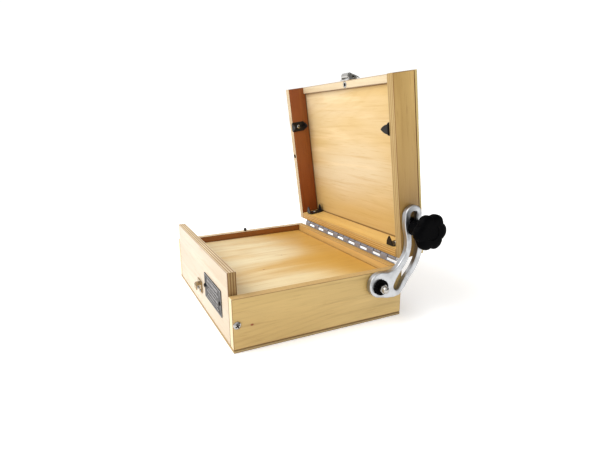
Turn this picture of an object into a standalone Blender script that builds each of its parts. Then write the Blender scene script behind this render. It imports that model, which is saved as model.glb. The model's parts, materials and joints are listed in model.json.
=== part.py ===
"""A painter's small plywood box: a base with a lift-out palette and a lid on a piano hinge.

The lid is drawn shut, in an empty on the hinge axis, and that empty turns it open.
A slotted arm on the right side holds the lid: it turns on the base, and a stud in the
lid's wall runs in its slot under a clamping knob. +X is the right side, +Y the hinge side
and +Z up, and the origin is the middle of the underside.
"""
import math

import bmesh
import bpy
from mathutils import Matrix, Vector

MM = 0.001
GAP = 0.3 * MM
OVERSHOOT = 2 * MM

# the box
WIDTH = 230 * MM
LENGTH = 190 * MM
WALL = 9 * MM
SHEET = 3 * MM
BASE_HEIGHT = 54 * MM
FRONT_LIP = 22.4 * MM
EDGE_ROUND = 0.6 * MM
FINE_ROUND = 0.4 * MM
HALF_WIDTH = WIDTH / 2
INNER_HALF = HALF_WIDTH - WALL
FRONT_Y = -LENGTH / 2
REAR_Y = LENGTH / 2

# palette and its cleats
PALETTE_TOP = BASE_HEIGHT - 8 * MM
PALETTE_THICKNESS = 6 * MM
PALETTE_PLAY = 0.6 * MM
CLEAT = 8 * MM

# lid, measured with the lid shut
LID_BOTTOM = BASE_HEIGHT + 0.5 * MM
LID_WALL_HEIGHT = 25.3 * MM
LID_SHEET_BOTTOM = LID_BOTTOM + LID_WALL_HEIGHT + GAP
LID_TOP = LID_SHEET_BOTTOM + SHEET
LID_FRONT_Y = FRONT_Y + 3 * MM
BATTEN_THICKNESS = 3 * MM
LID_OPEN = math.radians(83.2)

# piano hinge
HINGE_Y = REAR_Y + 4 * MM
HINGE_Z = BASE_HEIGHT + 5 * MM
KNUCKLE = 12.7 * MM
KNUCKLE_PAIRS = 8
HINGE_HALF = KNUCKLE * KNUCKLE_PAIRS
BARREL_RADIUS = 2.85 * MM
HINGE_PIN_RADIUS = 1.3 * MM
LEAF = 1.2 * MM
LEAF_HEIGHT = 20 * MM
HINGE_SCREWS = 4
HINGE_SCREW_PITCH = 50.8 * MM
HINGE_SCREW_RISE = 14 * MM
HINGE_SCREW_SHANK = 1.2 * MM
HINGE_SCREW_LENGTH = 7 * MM
HINGE_SCREW_HOLE = 7.5 * MM
HINGE_SCREW_HEAD = 2.7 * MM
HINGE_SCREW_HEAD_HEIGHT = 1 * MM
LEAF_NOTCH = BARREL_RADIUS + 2.2 * MM

# lid stay: the arm turns about ARM_PIVOT, the stud is fixed in the lid
ARM_PIVOT_Y = 62 * MM
ARM_PIVOT_Z = 40.2 * MM
ARM_INNER_X = HALF_WIDTH + 1.5 * MM
ARM_OUTER_X = ARM_INNER_X + 6 * MM
ARM_HALF_WIDTH = 10.5 * MM
SLOT_HALF_WIDTH = 4.5 * MM
STUD_RADIUS = 2.5 * MM
PIVOT_RADIUS = 3 * MM
STUD_ROOT = INNER_HALF + 1 * MM
STUD_IN_NUT = 4 * MM
STUD_FORWARD = 38.75 * MM
STUD_RISE = 7 * MM
ARM_EDGE_ROUND = 0.7 * MM
CLAMP_WASHER_RADIUS = 9.8 * MM
WASHER_RADIUS = 8.2 * MM
WASHER_THICKNESS = 2.4 * MM
NUT_RADIUS = 4.9 * MM
NUT_HEIGHT = 4.8 * MM
DOME_RADIUS = 3.9 * MM
DOME_RISE = 4.8 * MM
# hand-set points in millimetres: (y, z) with the lid open
SLOT_PATH = [
    (83.6, 37.6), (86.8, 44.0), (92.0, 51.2), (96.9, 57.0), (101.2, 65.0), (103.6, 74.0),
    (104.1, 82.0), (103.1, 91.0), (101.0, 98.5), (100.2, 104.5), (100.4, 110.8),
]
ARM_HEEL = [(62.5, 28.2), (71.0, 26.4), (80.0, 25.8), (87.0, 27.2)]
ARM_LOBE_CENTRE = (63.0, 42.0)
ARM_LOBE_RADIUS = 13.6 * MM
ARM_THROAT = [(87.9, 64.6), (83.6, 59.2), (78.5, 55.6), (71.5, 54.2)]
ARM_BACK_START = 33 * MM
ARM_FRONT_START = 70 * MM

# clamping knob
KNOB_HUB_RADIUS = 8.5 * MM
KNOB_HUB_START = ARM_OUTER_X + GAP
KNOB_HEAD_START = HALF_WIDTH + 23.9 * MM
KNOB_HEAD_END = HALF_WIDTH + 34.3 * MM
KNOB_RADIUS = 18.7 * MM
KNOB_LOBES = 6
KNOB_LOBE_DEPTH = 2.8 * MM
KNOB_TURN = math.radians(23)
# the head's rounded rims: (share of its thickness, share of its radius)
KNOB_RIMS = [(0.0, 0.84), (0.08, 0.95), (0.25, 1.0), (0.72, 1.0), (0.92, 0.94), (1.0, 0.80)]

# draw latch, with the lid shut
LATCH_PIVOT_Y = LID_FRONT_Y - 5.2 * MM
LATCH_PIVOT_Z = 80.2 * MM
LATCH_HALF_WIDTH = 9 * MM
LEVER_HALF_WIDTH = 6.6 * MM
LEVER_LENGTH = 15 * MM
LEVER_TILT = math.radians(20)
BAIL_OFFSET = 9 * MM
BAIL_HALF_WIDTH = 8 * MM
BAIL_LENGTH = 43 * MM
BAIL_WIRE = 1.1 * MM
BAIL_LEAN = math.radians(4.9)
BAIL_NEAR_CORNER = 1.25 * MM
BAIL_FAR_CORNER = 4 * MM
LATCH_STEEL = 1.2 * MM
LATCH_PIN_RADIUS = 1 * MM
LATCH_BASE_HEIGHT = 6 * MM
LEVER_BARREL = 3.2 * MM
BAIL_BARREL = 2.5 * MM
CATCH_Z = 27 * MM
CATCH_HALF_WIDTH = 8 * MM
CATCH_HALF_HEIGHT = 7 * MM
CATCH_HOOK_HALF_WIDTH = 5 * MM
CATCH_SCREW_X = 5.4 * MM
CATCH_SCREW_DROP = 4.2 * MM
CATCH_SCREW_HEAD = 2 * MM
CATCH_SCREW_HEAD_HEIGHT = 1.2 * MM
# the hook's section in millimetres: (out from the plate's back, up from CATCH_Z)
CATCH_HOOK = [
    (0.6, 3.5), (4.6, 3.5), (6.2, 1.4), (6.2, -3.2), (5.0, -3.2), (5.0, 1.0), (4.2, 2.2), (0.6, 2.2),
]

# name plate
PLATE_LEFT = 23 * MM
PLATE_RIGHT = 84 * MM
PLATE_LOW = 22.5 * MM
PLATE_HIGH = 51 * MM
PLATE_THICKNESS = 0.8 * MM
PLATE_SCREW_INSET = 3.4 * MM
PLATE_SCREW_HEAD = 2.4 * MM
PLATE_SCREW_HEAD_HEIGHT = 1.5 * MM
SMALL_SCREW_SHANK = 1.1 * MM
SMALL_SCREW_LENGTH = 7 * MM
SMALL_SCREW_HOLE = 8 * MM

# screws through the side walls into the front panel
CORNER_SCREW_Y = FRONT_Y + 4.3 * MM
CORNER_SCREW_Z = 28 * MM
CORNER_SHANK = 1.5 * MM
CORNER_LENGTH = 16 * MM
CORNER_HOLE = 8 * MM
CORNER_HEAD = 3.9 * MM
CORNER_HEAD_HEIGHT = 2.3 * MM

# panel clips
CLIP_PLATE = 1.2 * MM
CLIP_WIDTH = 13 * MM
CLIP_DEPTH = 20 * MM
CLIP_EAR = 9.8 * MM
CLIP_EAR_FOOT = 4.8 * MM
CLIP_CENTRE_DEPTH = 12.6 * MM
CLIP_SHANK = 1.2 * MM
CLIP_SCREW_LENGTH = 6 * MM
CLIP_SCREW_HOLE = 7 * MM
CLIP_SCREW_HEAD = 2.6 * MM
CLIP_SCREW_HEAD_HEIGHT = 1.4 * MM
UPPER_CLIP_Y = -40.2 * MM
UPPER_CLIP_FORWARD = 4.6 * MM
LOWER_CLIP_X = 92 * MM

# pin in the base's left wall and its hole in the lid's left wall
PIN_Y = 1.2 * MM
PIN_RADIUS = 2.2 * MM
PIN_HOLE = 4.5 * MM
PIN_PLAY = 0.6 * MM
PIN_SOCKET = 5.5 * MM
# the pin's profile: (millimetres above the wall, share of its radius)
PIN_PROFILE = [(-4.0, 0.8), (1.6, 0.8), (1.8, 1.0), (2.8, 1.0), (3.8, 0.7), (4.3, 0.3)]

# ring let into the batten
INSERT_HOLE_RADIUS = 3.8 * MM
INSERT_HOLE_DEPTH = 2 * MM
INSERT_INNER = 2.1 * MM
INSERT_OUTER = 3.5 * MM
INSERT_HEIGHT = 1.5 * MM


def clear_scene():
    for old in list(bpy.data.objects):
        bpy.data.objects.remove(old, do_unlink=True)


def material(name, colour, roughness, metallic=0.0):
    new = bpy.data.materials.new(name)
    new.use_nodes = True
    shader = new.node_tree.nodes["Principled BSDF"]
    shader.inputs["Base Color"].default_value = (*colour, 1.0)
    shader.inputs["Roughness"].default_value = roughness
    shader.inputs["Metallic"].default_value = metallic
    return new


class Frame:
    """An empty on a joint's axis. Pieces in it are drawn in the shut lid's coordinates."""

    def __init__(self, name, origin, parent=None, turn=0.0):
        self.origin = Vector(origin)
        self.empty = bpy.data.objects.new(name, None)
        bpy.context.collection.objects.link(self.empty)
        self.empty.location = self.origin
        if parent:
            self.empty.parent = parent.empty
            self.empty.location = self.origin - parent.origin
        self.empty.rotation_euler = (turn, 0.0, 0.0)

    def hold(self, piece):
        piece.parent = self.empty
        piece.location = -self.origin


def add_object(name, mesh, finish, frame=None):
    piece = bpy.data.objects.new(name, mesh)
    bpy.context.collection.objects.link(piece)
    mesh.materials.append(finish)
    if frame:
        frame.hold(piece)
    return piece


def mesh_from(name, build):
    shape = bmesh.new()
    build(shape)
    bmesh.ops.recalc_face_normals(shape, faces=shape.faces)
    mesh = bpy.data.meshes.new(name)
    shape.to_mesh(mesh)
    shape.free()
    return mesh


def add_block(shape, low, high):
    size = Vector(high) - Vector(low)
    middle = (Vector(high) + Vector(low)) / 2
    place = Matrix.Translation(middle) @ Matrix.Diagonal((*size, 1.0))
    bmesh.ops.create_cube(shape, size=1.0, matrix=place)


def add_prism(shape, outline, start, end):
    """Extrude an outline of (y, z) points from x = start to x = end."""
    near = [shape.verts.new((start, y, z)) for y, z in outline]
    far = [shape.verts.new((end, y, z)) for y, z in outline]
    shape.faces.new(near)
    shape.faces.new(reversed(far))
    for i in range(len(outline)):
        j = (i + 1) % len(outline)
        shape.faces.new((near[j], near[i], far[i], far[j]))


def add_turning(shape, profile, origin, axis, segments):
    """Turn (distance along the axis, radius) points about an axis through origin."""
    turn = Vector(axis).to_track_quat("Z", "Y").to_matrix()
    rings = []
    for along, radius in profile:
        ring = []
        for i in range(segments):
            angle = 2 * math.pi * i / segments
            local = Vector((radius * math.cos(angle), radius * math.sin(angle), along))
            ring.append(shape.verts.new(Vector(origin) + turn @ local))
        rings.append(ring)
    for first, second in zip(rings[:-1], rings[1:]):
        for i in range(segments):
            j = (i + 1) % segments
            shape.faces.new((first[i], first[j], second[j], second[i]))
    return rings


def add_rod(shape, profile, origin, axis, segments=12):
    """A turning whose two ends are closed."""
    rings = add_turning(shape, profile, origin, axis, segments)
    shape.faces.new(rings[0])
    shape.faces.new(reversed(rings[-1]))


def add_ring(shape, inner, outer, start, end, origin, axis, segments=24):
    """A washer or sleeve: its profile runs out, along, in and back."""
    profile = [(start, inner), (start, outer), (end, outer), (end, inner)]
    rings = add_turning(shape, profile, origin, axis, segments)
    for i in range(segments):
        j = (i + 1) % segments
        shape.faces.new((rings[-1][i], rings[-1][j], rings[0][j], rings[0][i]))


def soften(piece, width=EDGE_ROUND, segments=1):
    bevel = piece.modifiers.new("soft edges", "BEVEL")
    bevel.width = width
    bevel.segments = segments
    bevel.limit_method = "ANGLE"
    bevel.angle_limit = math.radians(40)


def smooth(piece):
    piece.data.shade_smooth()
    piece.data.set_sharp_from_angle(angle=math.radians(35))


def cut(piece, cutter_mesh, frame=None):
    """Subtract a mesh from a piece, through a hidden cutter in the same frame."""
    cutter = bpy.data.objects.new(piece.name + "_cutter", cutter_mesh)
    bpy.context.collection.objects.link(cutter)
    cutter.hide_render = True
    cutter.display_type = "WIRE"
    if frame:
        frame.hold(cutter)
    opening = piece.modifiers.new("opening", "BOOLEAN")
    opening.operation = "DIFFERENCE"
    opening.object = cutter
    return cutter


def join(piece, other_mesh, frame=None):
    """Unite a mesh with a piece, through a hidden guide in the same frame."""
    cut(piece, other_mesh, frame)
    piece.modifiers[-1].operation = "UNION"


def block(name, low, high, finish, frame=None):
    return add_object(name, mesh_from(name, lambda s: add_block(s, low, high)), finish, frame)


def rod(name, profile, origin, axis, finish, frame=None, segments=12):
    mesh = mesh_from(name, lambda s: add_rod(s, profile, origin, axis, segments))
    piece = add_object(name, mesh, finish, frame)
    smooth(piece)
    return piece


def rod_mesh(places, axis, length, radius, segments=12):
    """Rods that all run the same way from their places, for drilling."""
    def build(shape):
        for place in places:
            add_rod(shape, [(0, radius), (length, radius)], place, axis, segments)
    return mesh_from("rods", build)


def screws(name, places, outward, head_radius, head_height, shank_radius, shank, finish, frame=None):
    """Dome-headed screws whose heads rest on the faces at places and stand outward."""
    profile = [
        (-shank, shank_radius * 0.5), (-shank + shank_radius, shank_radius),
        (GAP, shank_radius), (GAP, head_radius), (GAP + head_height * 0.45, head_radius),
        (GAP + head_height * 0.85, head_radius * 0.7), (GAP + head_height, head_radius * 0.3),
    ]
    for number, place in enumerate(places, 1):
        rod(f"{name}_{number}", profile, place, outward, finish, frame)


def pilot(piece, places, outward, radius, depth, frame=None):
    """Blind holes of a depth, drilled into a face at places against outward."""
    starts = [Vector(place) - Vector(outward) * depth for place in places]
    cut(piece, rod_mesh(starts, outward, depth + OVERSHOOT, radius), frame)


def curve_through(points, steps=5):
    """Smooth (y, z) points in metres through hand-set points in millimetres."""
    knots = [Vector(p) * MM for p in points]
    knots = [2 * knots[0] - knots[1]] + knots + [2 * knots[-1] - knots[-2]]
    smooth_points = []
    for i in range(1, len(knots) - 2):
        before, start, end, after = knots[i - 1:i + 3]
        for step in range(steps):
            t = step / steps
            smooth_points.append(0.5 * (
                2 * start + (end - before) * t
                + (2 * before - 5 * start + 4 * end - after) * t ** 2
                + (3 * start - before - 3 * end + after) * t ** 3))
    smooth_points.append(knots[-2])
    return smooth_points


def offset(path, distance):
    """The path moved sideways, to its right when distance is positive."""
    moved = []
    for i, point in enumerate(path):
        along = (path[min(i + 1, len(path) - 1)] - path[max(i - 1, 0)]).normalized()
        moved.append(point + Vector((along.y, -along.x)) * distance)
    return moved


def arc(centre, radius, start, end, steps):
    return [
        Vector(centre) + radius * Vector((math.cos(a), math.sin(a)))
        for a in (start + (end - start) * i / steps for i in range(steps + 1))
    ]


def heading(path, i, j):
    direction = path[j] - path[i]
    return math.atan2(direction.y, direction.x)


def slot_outline():
    """A band round the slot's centre line, with round ends."""
    path = curve_through(SLOT_PATH, 3)
    right = offset(path, SLOT_HALF_WIDTH)
    left = offset(path, -SLOT_HALF_WIDTH)
    top = heading(path, -2, -1)
    low = heading(path, 1, 0)
    top_cap = arc(path[-1], SLOT_HALF_WIDTH, top - math.pi / 2, top + math.pi / 2, 8)
    low_cap = arc(path[0], SLOT_HALF_WIDTH, low - math.pi / 2, low + math.pi / 2, 8)
    return right[1:-1] + top_cap + left[-2:0:-1] + low_cap


def arm_outline():
    """Round the top, down the throat, round the pivot lobe, along the heel and up the back."""
    path = curve_through(SLOT_PATH, 3)
    top = heading(path, -2, -1)
    top_cap = arc(path[-1], ARM_HALF_WIDTH, top - math.pi / 2, top + math.pi / 2, 12)
    front = [p for p in offset(path, -ARM_HALF_WIDTH)[-2:0:-1] if p.y > ARM_FRONT_START]
    back = [p for p in offset(path, ARM_HALF_WIDTH)[1:-1] if p.y > ARM_BACK_START]
    throat = [Vector(p) * MM for p in ARM_THROAT]
    centre = Vector(ARM_LOBE_CENTRE) * MM
    lobe = arc(centre, ARM_LOBE_RADIUS, math.radians(82), math.radians(268), 14)
    heel = [Vector(p) * MM for p in ARM_HEEL][1:]
    return top_cap + front + throat + lobe + heel + back


def make_materials():
    return {
        "birch": material("birch plywood", (0.80, 0.62, 0.36), 0.5),
        "sheet": material("thin birch sheet", (0.78, 0.58, 0.32), 0.5),
        "palette": material("palette board", (0.80, 0.58, 0.28), 0.4),
        "nickel": material("nickelled steel", (0.72, 0.71, 0.69), 0.25, 1.0),
        "aluminium": material("satin aluminium", (0.75, 0.76, 0.78), 0.4, 1.0),
        "plate": material("dark plate", (0.30, 0.30, 0.31), 0.4, 1.0),
        "black": material("blackened steel", (0.03, 0.03, 0.03), 0.4, 0.6),
        "plastic": material("black plastic", (0.015, 0.015, 0.015), 0.55),
    }


def base_box(finish):
    left = block("base_left_wall", (-HALF_WIDTH, FRONT_Y, SHEET + GAP),
                 (-INNER_HALF, REAR_Y, BASE_HEIGHT), finish["birch"])
    right = block("base_right_wall", (INNER_HALF, FRONT_Y, SHEET + GAP),
                  (HALF_WIDTH, REAR_Y, BASE_HEIGHT), finish["birch"])
    rear = block("base_rear_wall", (-INNER_HALF + GAP, REAR_Y - WALL, SHEET + GAP),
                 (INNER_HALF - GAP, REAR_Y, BASE_HEIGHT), finish["birch"])
    front = block("base_front_panel", (-INNER_HALF + GAP, FRONT_Y, SHEET + GAP),
                  (INNER_HALF - GAP, FRONT_Y + WALL, BASE_HEIGHT + FRONT_LIP), finish["birch"])
    bottom = block("base_bottom_panel", (-HALF_WIDTH, FRONT_Y, 0),
                   (HALF_WIDTH, REAR_Y, SHEET), finish["sheet"])
    for piece in (left, right, rear, front, bottom):
        soften(piece)
    return left, right, rear, front


def palette_and_cleats(finish, palette_frame):
    cleat_top = PALETTE_TOP - PALETTE_THICKNESS - GAP
    for side, name in ((-1, "palette_cleat_left"), (1, "palette_cleat_right")):
        outer = side * (INNER_HALF - GAP)
        inner = side * (INNER_HALF - GAP - CLEAT)
        block(name, (min(outer, inner), FRONT_Y + WALL + GAP, cleat_top - CLEAT),
              (max(outer, inner), REAR_Y - WALL - GAP, cleat_top), finish["birch"])
    half = INNER_HALF - PALETTE_PLAY
    board = block("palette", (-half, FRONT_Y + WALL + PALETTE_PLAY, PALETTE_TOP - PALETTE_THICKNESS),
                  (half, REAR_Y - WALL - PALETTE_PLAY, PALETTE_TOP), finish["palette"], palette_frame)
    soften(board, FINE_ROUND)


def corner_screws(finish, left, right, front):
    """One screw through each side wall into the end of the front panel."""
    profile = [(-CORNER_LENGTH, CORNER_SHANK), (GAP, CORNER_SHANK), (GAP, CORNER_HEAD * 0.95),
               (CORNER_HEAD_HEIGHT * 0.43, CORNER_HEAD), (CORNER_HEAD_HEIGHT * 0.87, CORNER_HEAD * 0.67),
               (CORNER_HEAD_HEIGHT, CORNER_HEAD * 0.26)]
    hole = CORNER_SHANK + GAP
    for side, wall, name in ((-1, left, "front_corner_screw_left"), (1, right, "front_corner_screw_right")):
        outward = (side, 0, 0)
        head = (side * HALF_WIDTH, CORNER_SCREW_Y, CORNER_SCREW_Z)
        rod(name, profile, head, outward, finish["nickel"], segments=16)
        start = (side * (INNER_HALF - OVERSHOOT), CORNER_SCREW_Y, CORNER_SCREW_Z)
        cut(wall, rod_mesh([start], outward, WALL + 2 * OVERSHOOT, hole))
        inner = (side * INNER_HALF, CORNER_SCREW_Y, CORNER_SCREW_Z)
        pilot(front, [inner], outward, hole, CORNER_HOLE)


def name_plate(finish, front):
    outward = (0, -1, 0)
    back = FRONT_Y - GAP
    face = back - PLATE_THICKNESS
    plate = block("name_plate", (PLATE_LEFT, face, PLATE_LOW), (PLATE_RIGHT, back, PLATE_HIGH), finish["plate"])
    middle = (PLATE_LOW + PLATE_HIGH) / 2
    places = [(x, back, middle) for x in (PLATE_LEFT + PLATE_SCREW_INSET, PLATE_RIGHT - PLATE_SCREW_INSET)]
    pilot(plate, places, outward, SMALL_SCREW_SHANK + GAP, OVERSHOOT)
    pilot(front, places, outward, SMALL_SCREW_SHANK + GAP, SMALL_SCREW_HOLE)
    heads = [(x, face, z) for x, y, z in places]
    screws("name_plate_screw", heads, outward, PLATE_SCREW_HEAD, PLATE_SCREW_HEAD_HEIGHT,
           SMALL_SCREW_SHANK, SMALL_SCREW_LENGTH, finish["black"])


def latch_catch(finish, front):
    """A plate on the front panel with a hook, open downwards, for the bail."""
    outward = (0, -1, 0)
    back = FRONT_Y - GAP
    face = back - LATCH_STEEL
    catch = block("latch_catch", (-CATCH_HALF_WIDTH, face, CATCH_Z - CATCH_HALF_HEIGHT),
                  (CATCH_HALF_WIDTH, back, CATCH_Z + CATCH_HALF_HEIGHT), finish["nickel"])
    hook = [(back - out * MM, CATCH_Z + up * MM) for out, up in CATCH_HOOK]
    join(catch, mesh_from("hook", lambda s: add_prism(
        s, hook, -CATCH_HOOK_HALF_WIDTH, CATCH_HOOK_HALF_WIDTH)))
    places = [(x, back, CATCH_Z - CATCH_SCREW_DROP) for x in (-CATCH_SCREW_X, CATCH_SCREW_X)]
    pilot(catch, places, outward, SMALL_SCREW_SHANK + GAP, OVERSHOOT)
    pilot(front, places, outward, SMALL_SCREW_SHANK + GAP, SMALL_SCREW_HOLE)
    heads = [(x, face, z) for x, y, z in places]
    screws("latch_catch_screw", heads, outward, CATCH_SCREW_HEAD, CATCH_SCREW_HEAD_HEIGHT,
           SMALL_SCREW_SHANK, SMALL_SCREW_LENGTH, finish["nickel"])


def locating_pin(finish, wall):
    place = (-INNER_HALF - WALL / 2, PIN_Y, BASE_HEIGHT)
    profile = [(height * MM, share * PIN_RADIUS) for height, share in PIN_PROFILE]
    rod("locating_pin", profile, place, (0, 0, 1), finish["black"])
    pilot(wall, [place], (0, 0, 1), PIN_RADIUS, PIN_HOLE)


def knuckle_centres(first):
    return [-HINGE_HALF + KNUCKLE * (first + 0.5 + 2 * i) for i in range(KNUCKLE_PAIRS)]


def hinge_leaf(name, own, other, rise, finish, frame=None):
    """A leaf on the rear faces, going up (rise 1) or down (rise -1) from its knuckles."""
    inner_y = REAR_Y + GAP
    ends = sorted((HINGE_Z, HINGE_Z + rise * LEAF_HEIGHT))
    leaf = block(name, (-HINGE_HALF + GAP, inner_y, ends[0]),
                 (HINGE_HALF - GAP, inner_y + LEAF, ends[1]), finish["nickel"], frame)

    def barrels(shape):
        length = KNUCKLE - 2 * GAP
        for x in own:
            place = (x - length / 2, HINGE_Y, HINGE_Z)
            add_rod(shape, [(0, BARREL_RADIUS), (length, BARREL_RADIUS)], place, (1, 0, 0), 16)

    def notches(shape):
        half = KNUCKLE / 2
        for x in other:
            add_block(shape, (x - half, inner_y - OVERSHOOT, HINGE_Z - LEAF_NOTCH),
                      (x + half, inner_y + LEAF + OVERSHOOT, HINGE_Z + LEAF_NOTCH))
    cut(leaf, mesh_from("notches", notches), frame)
    join(leaf, mesh_from("barrels", barrels), frame)
    bore = [(-HINGE_HALF - OVERSHOOT, HINGE_Y, HINGE_Z)]
    through = 2 * (HINGE_HALF + OVERSHOOT)
    cut(leaf, rod_mesh(bore, (1, 0, 0), through, HINGE_PIN_RADIUS + GAP, 12), frame)
    return leaf


def hinge(finish, rear, rail, lid):
    base_own = knuckle_centres(0)
    lid_own = knuckle_centres(1)
    base_leaf = hinge_leaf("hinge_base_leaf", base_own, lid_own, -1, finish)
    lid_leaf = hinge_leaf("hinge_lid_leaf", lid_own, base_own, 1, finish, lid)
    place = (-HINGE_HALF, HINGE_Y, HINGE_Z)
    length = 2 * HINGE_HALF
    profile = [(0, HINGE_PIN_RADIUS), (length, HINGE_PIN_RADIUS)]
    rod("hinge_pin", profile, place, (1, 0, 0), finish["nickel"])
    face = REAR_Y + GAP
    first = -HINGE_SCREW_PITCH * (HINGE_SCREWS - 1) / 2
    hole = HINGE_SCREW_SHANK + GAP
    for name, leaf, wood, frame, rise in (
            ("hinge_base_screw", base_leaf, rear, None, -1),
            ("hinge_lid_screw", lid_leaf, rail, lid, 1)):
        places = [(first + i * HINGE_SCREW_PITCH, face, HINGE_Z + rise * HINGE_SCREW_RISE)
                  for i in range(HINGE_SCREWS)]
        pilot(leaf, places, (0, 1, 0), hole, LEAF + OVERSHOOT, frame)
        pilot(wood, places, (0, 1, 0), hole, HINGE_SCREW_HOLE, frame)
        heads = [(x, y + LEAF, z) for x, y, z in places]
        screws(name, heads, (0, 1, 0), HINGE_SCREW_HEAD, HINGE_SCREW_HEAD_HEIGHT,
               HINGE_SCREW_SHANK, HINGE_SCREW_LENGTH, finish["nickel"], frame)


def lid_box(finish, lid):
    wall_top = LID_BOTTOM + LID_WALL_HEIGHT
    left = block("lid_left_wall", (-HALF_WIDTH, LID_FRONT_Y, LID_BOTTOM),
                 (-INNER_HALF, REAR_Y, wall_top), finish["birch"], lid)
    right = block("lid_right_wall", (INNER_HALF, LID_FRONT_Y, LID_BOTTOM),
                  (HALF_WIDTH, REAR_Y, wall_top), finish["birch"], lid)
    rail = block("lid_hinge_rail", (-INNER_HALF + GAP, REAR_Y - WALL, LID_BOTTOM),
                 (INNER_HALF - GAP, REAR_Y, wall_top), finish["birch"], lid)
    batten = block("lid_batten", (-INNER_HALF + GAP, LID_FRONT_Y, wall_top - BATTEN_THICKNESS),
                   (INNER_HALF - GAP, LID_FRONT_Y + WALL, wall_top), finish["birch"], lid)
    sheet = block("lid_back_panel", (-HALF_WIDTH, LID_FRONT_Y, LID_SHEET_BOTTOM),
                  (HALF_WIDTH, REAR_Y, LID_TOP), finish["sheet"], lid)
    for piece in (left, right, rail, batten, sheet):
        soften(piece)
    pin_hole = (-INNER_HALF - WALL / 2, PIN_Y, LID_BOTTOM)
    pilot(left, [pin_hole], (0, 0, -1), PIN_RADIUS + PIN_PLAY, PIN_SOCKET, lid)

    ring_place = (0, LID_FRONT_Y + WALL / 2, wall_top - BATTEN_THICKNESS)
    pilot(batten, [ring_place], (0, 0, -1), INSERT_HOLE_RADIUS, INSERT_HOLE_DEPTH, lid)
    ring = mesh_from("ring", lambda s: add_ring(
        s, INSERT_INNER, INSERT_OUTER, 0, INSERT_HEIGHT, ring_place, (0, 0, 1), 16))
    smooth(add_object("batten_insert", ring, finish["nickel"], lid))
    return left, right, rail


def clip_mesh(centre, inward, along):
    """A plate on a face, with a triangular ear at each end of its depth.

    inward points off the face, along runs beside the opening, and depth is +Z.
    """
    inward = Vector(inward)
    along = Vector(along)
    centre = Vector(centre)
    deep = Vector((0, 0, 1))

    def build(shape):
        def plate(middle, half_along, start, end):
            corners = []
            for side in (-half_along, half_along):
                for level in (start, end):
                    for z in (-CLIP_DEPTH / 2, CLIP_DEPTH / 2):
                        corners.append(middle + along * side + inward * level + deep * z)
            low = [min(c[i] for c in corners) for i in range(3)]
            high = [max(c[i] for c in corners) for i in range(3)]
            add_block(shape, low, high)
        plate(centre, CLIP_WIDTH / 2, GAP, GAP + CLIP_PLATE)

    def ears(shape):
        for z in (-CLIP_DEPTH / 2, CLIP_DEPTH / 2 - CLIP_PLATE):
            foot = centre + inward * (GAP + CLIP_PLATE * 0.4) + deep * z
            tip = foot + inward * (CLIP_EAR + CLIP_PLATE * 0.6)
            outline = [foot - along * CLIP_EAR_FOOT, foot + along * CLIP_EAR_FOOT,
                       tip + along * CLIP_PLATE, tip - along * CLIP_PLATE]
            near = [shape.verts.new(p) for p in outline]
            far = [shape.verts.new(p + deep * CLIP_PLATE) for p in outline]
            shape.faces.new(near)
            shape.faces.new(reversed(far))
            for i in range(4):
                j = (i + 1) % 4
                shape.faces.new((near[j], near[i], far[i], far[j]))
    return mesh_from("clip plate", build), mesh_from("clip ears", ears)


def panel_clips(finish, lid, left_wall, right_wall, rail):
    z = LID_BOTTOM + CLIP_CENTRE_DEPTH
    rail_y = REAR_Y - WALL
    high_z = z - UPPER_CLIP_FORWARD
    places = (
        ("upper_left", (-INNER_HALF, UPPER_CLIP_Y, high_z), (1, 0, 0), (0, 1, 0), left_wall),
        ("upper_right", (INNER_HALF, UPPER_CLIP_Y, high_z), (-1, 0, 0), (0, 1, 0), right_wall),
        ("lower_left", (-LOWER_CLIP_X, rail_y, z), (0, -1, 0), (1, 0, 0), rail),
        ("lower_right", (LOWER_CLIP_X, rail_y, z), (0, -1, 0), (1, 0, 0), rail),
    )
    bore = CLIP_SHANK + GAP
    top = GAP + CLIP_PLATE + GAP
    profile = [(-CLIP_SCREW_LENGTH, CLIP_SHANK), (top, CLIP_SHANK), (top, CLIP_SCREW_HEAD),
               (top + CLIP_SCREW_HEAD_HEIGHT * 0.57, CLIP_SCREW_HEAD * 0.92),
               (top + CLIP_SCREW_HEAD_HEIGHT, CLIP_SCREW_HEAD * 0.46)]
    for corner, centre, inward, along, wood in places:
        rod("panel_clip_screw_" + corner, profile, centre, inward, finish["nickel"], lid)
        turning = Frame("clip_axis_" + corner, centre, lid)
        plate, ears = clip_mesh(centre, inward, along)
        clip = add_object("panel_clip_" + corner, plate, finish["black"], turning)
        join(clip, ears, turning)
        start = Vector(centre) - Vector(inward) * OVERSHOOT
        cut(clip, rod_mesh([start], inward, CLIP_PLATE + 2 * OVERSHOOT, bore), turning)
        pilot(wood, [centre], inward, bore, CLIP_SCREW_HOLE, lid)


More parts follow.
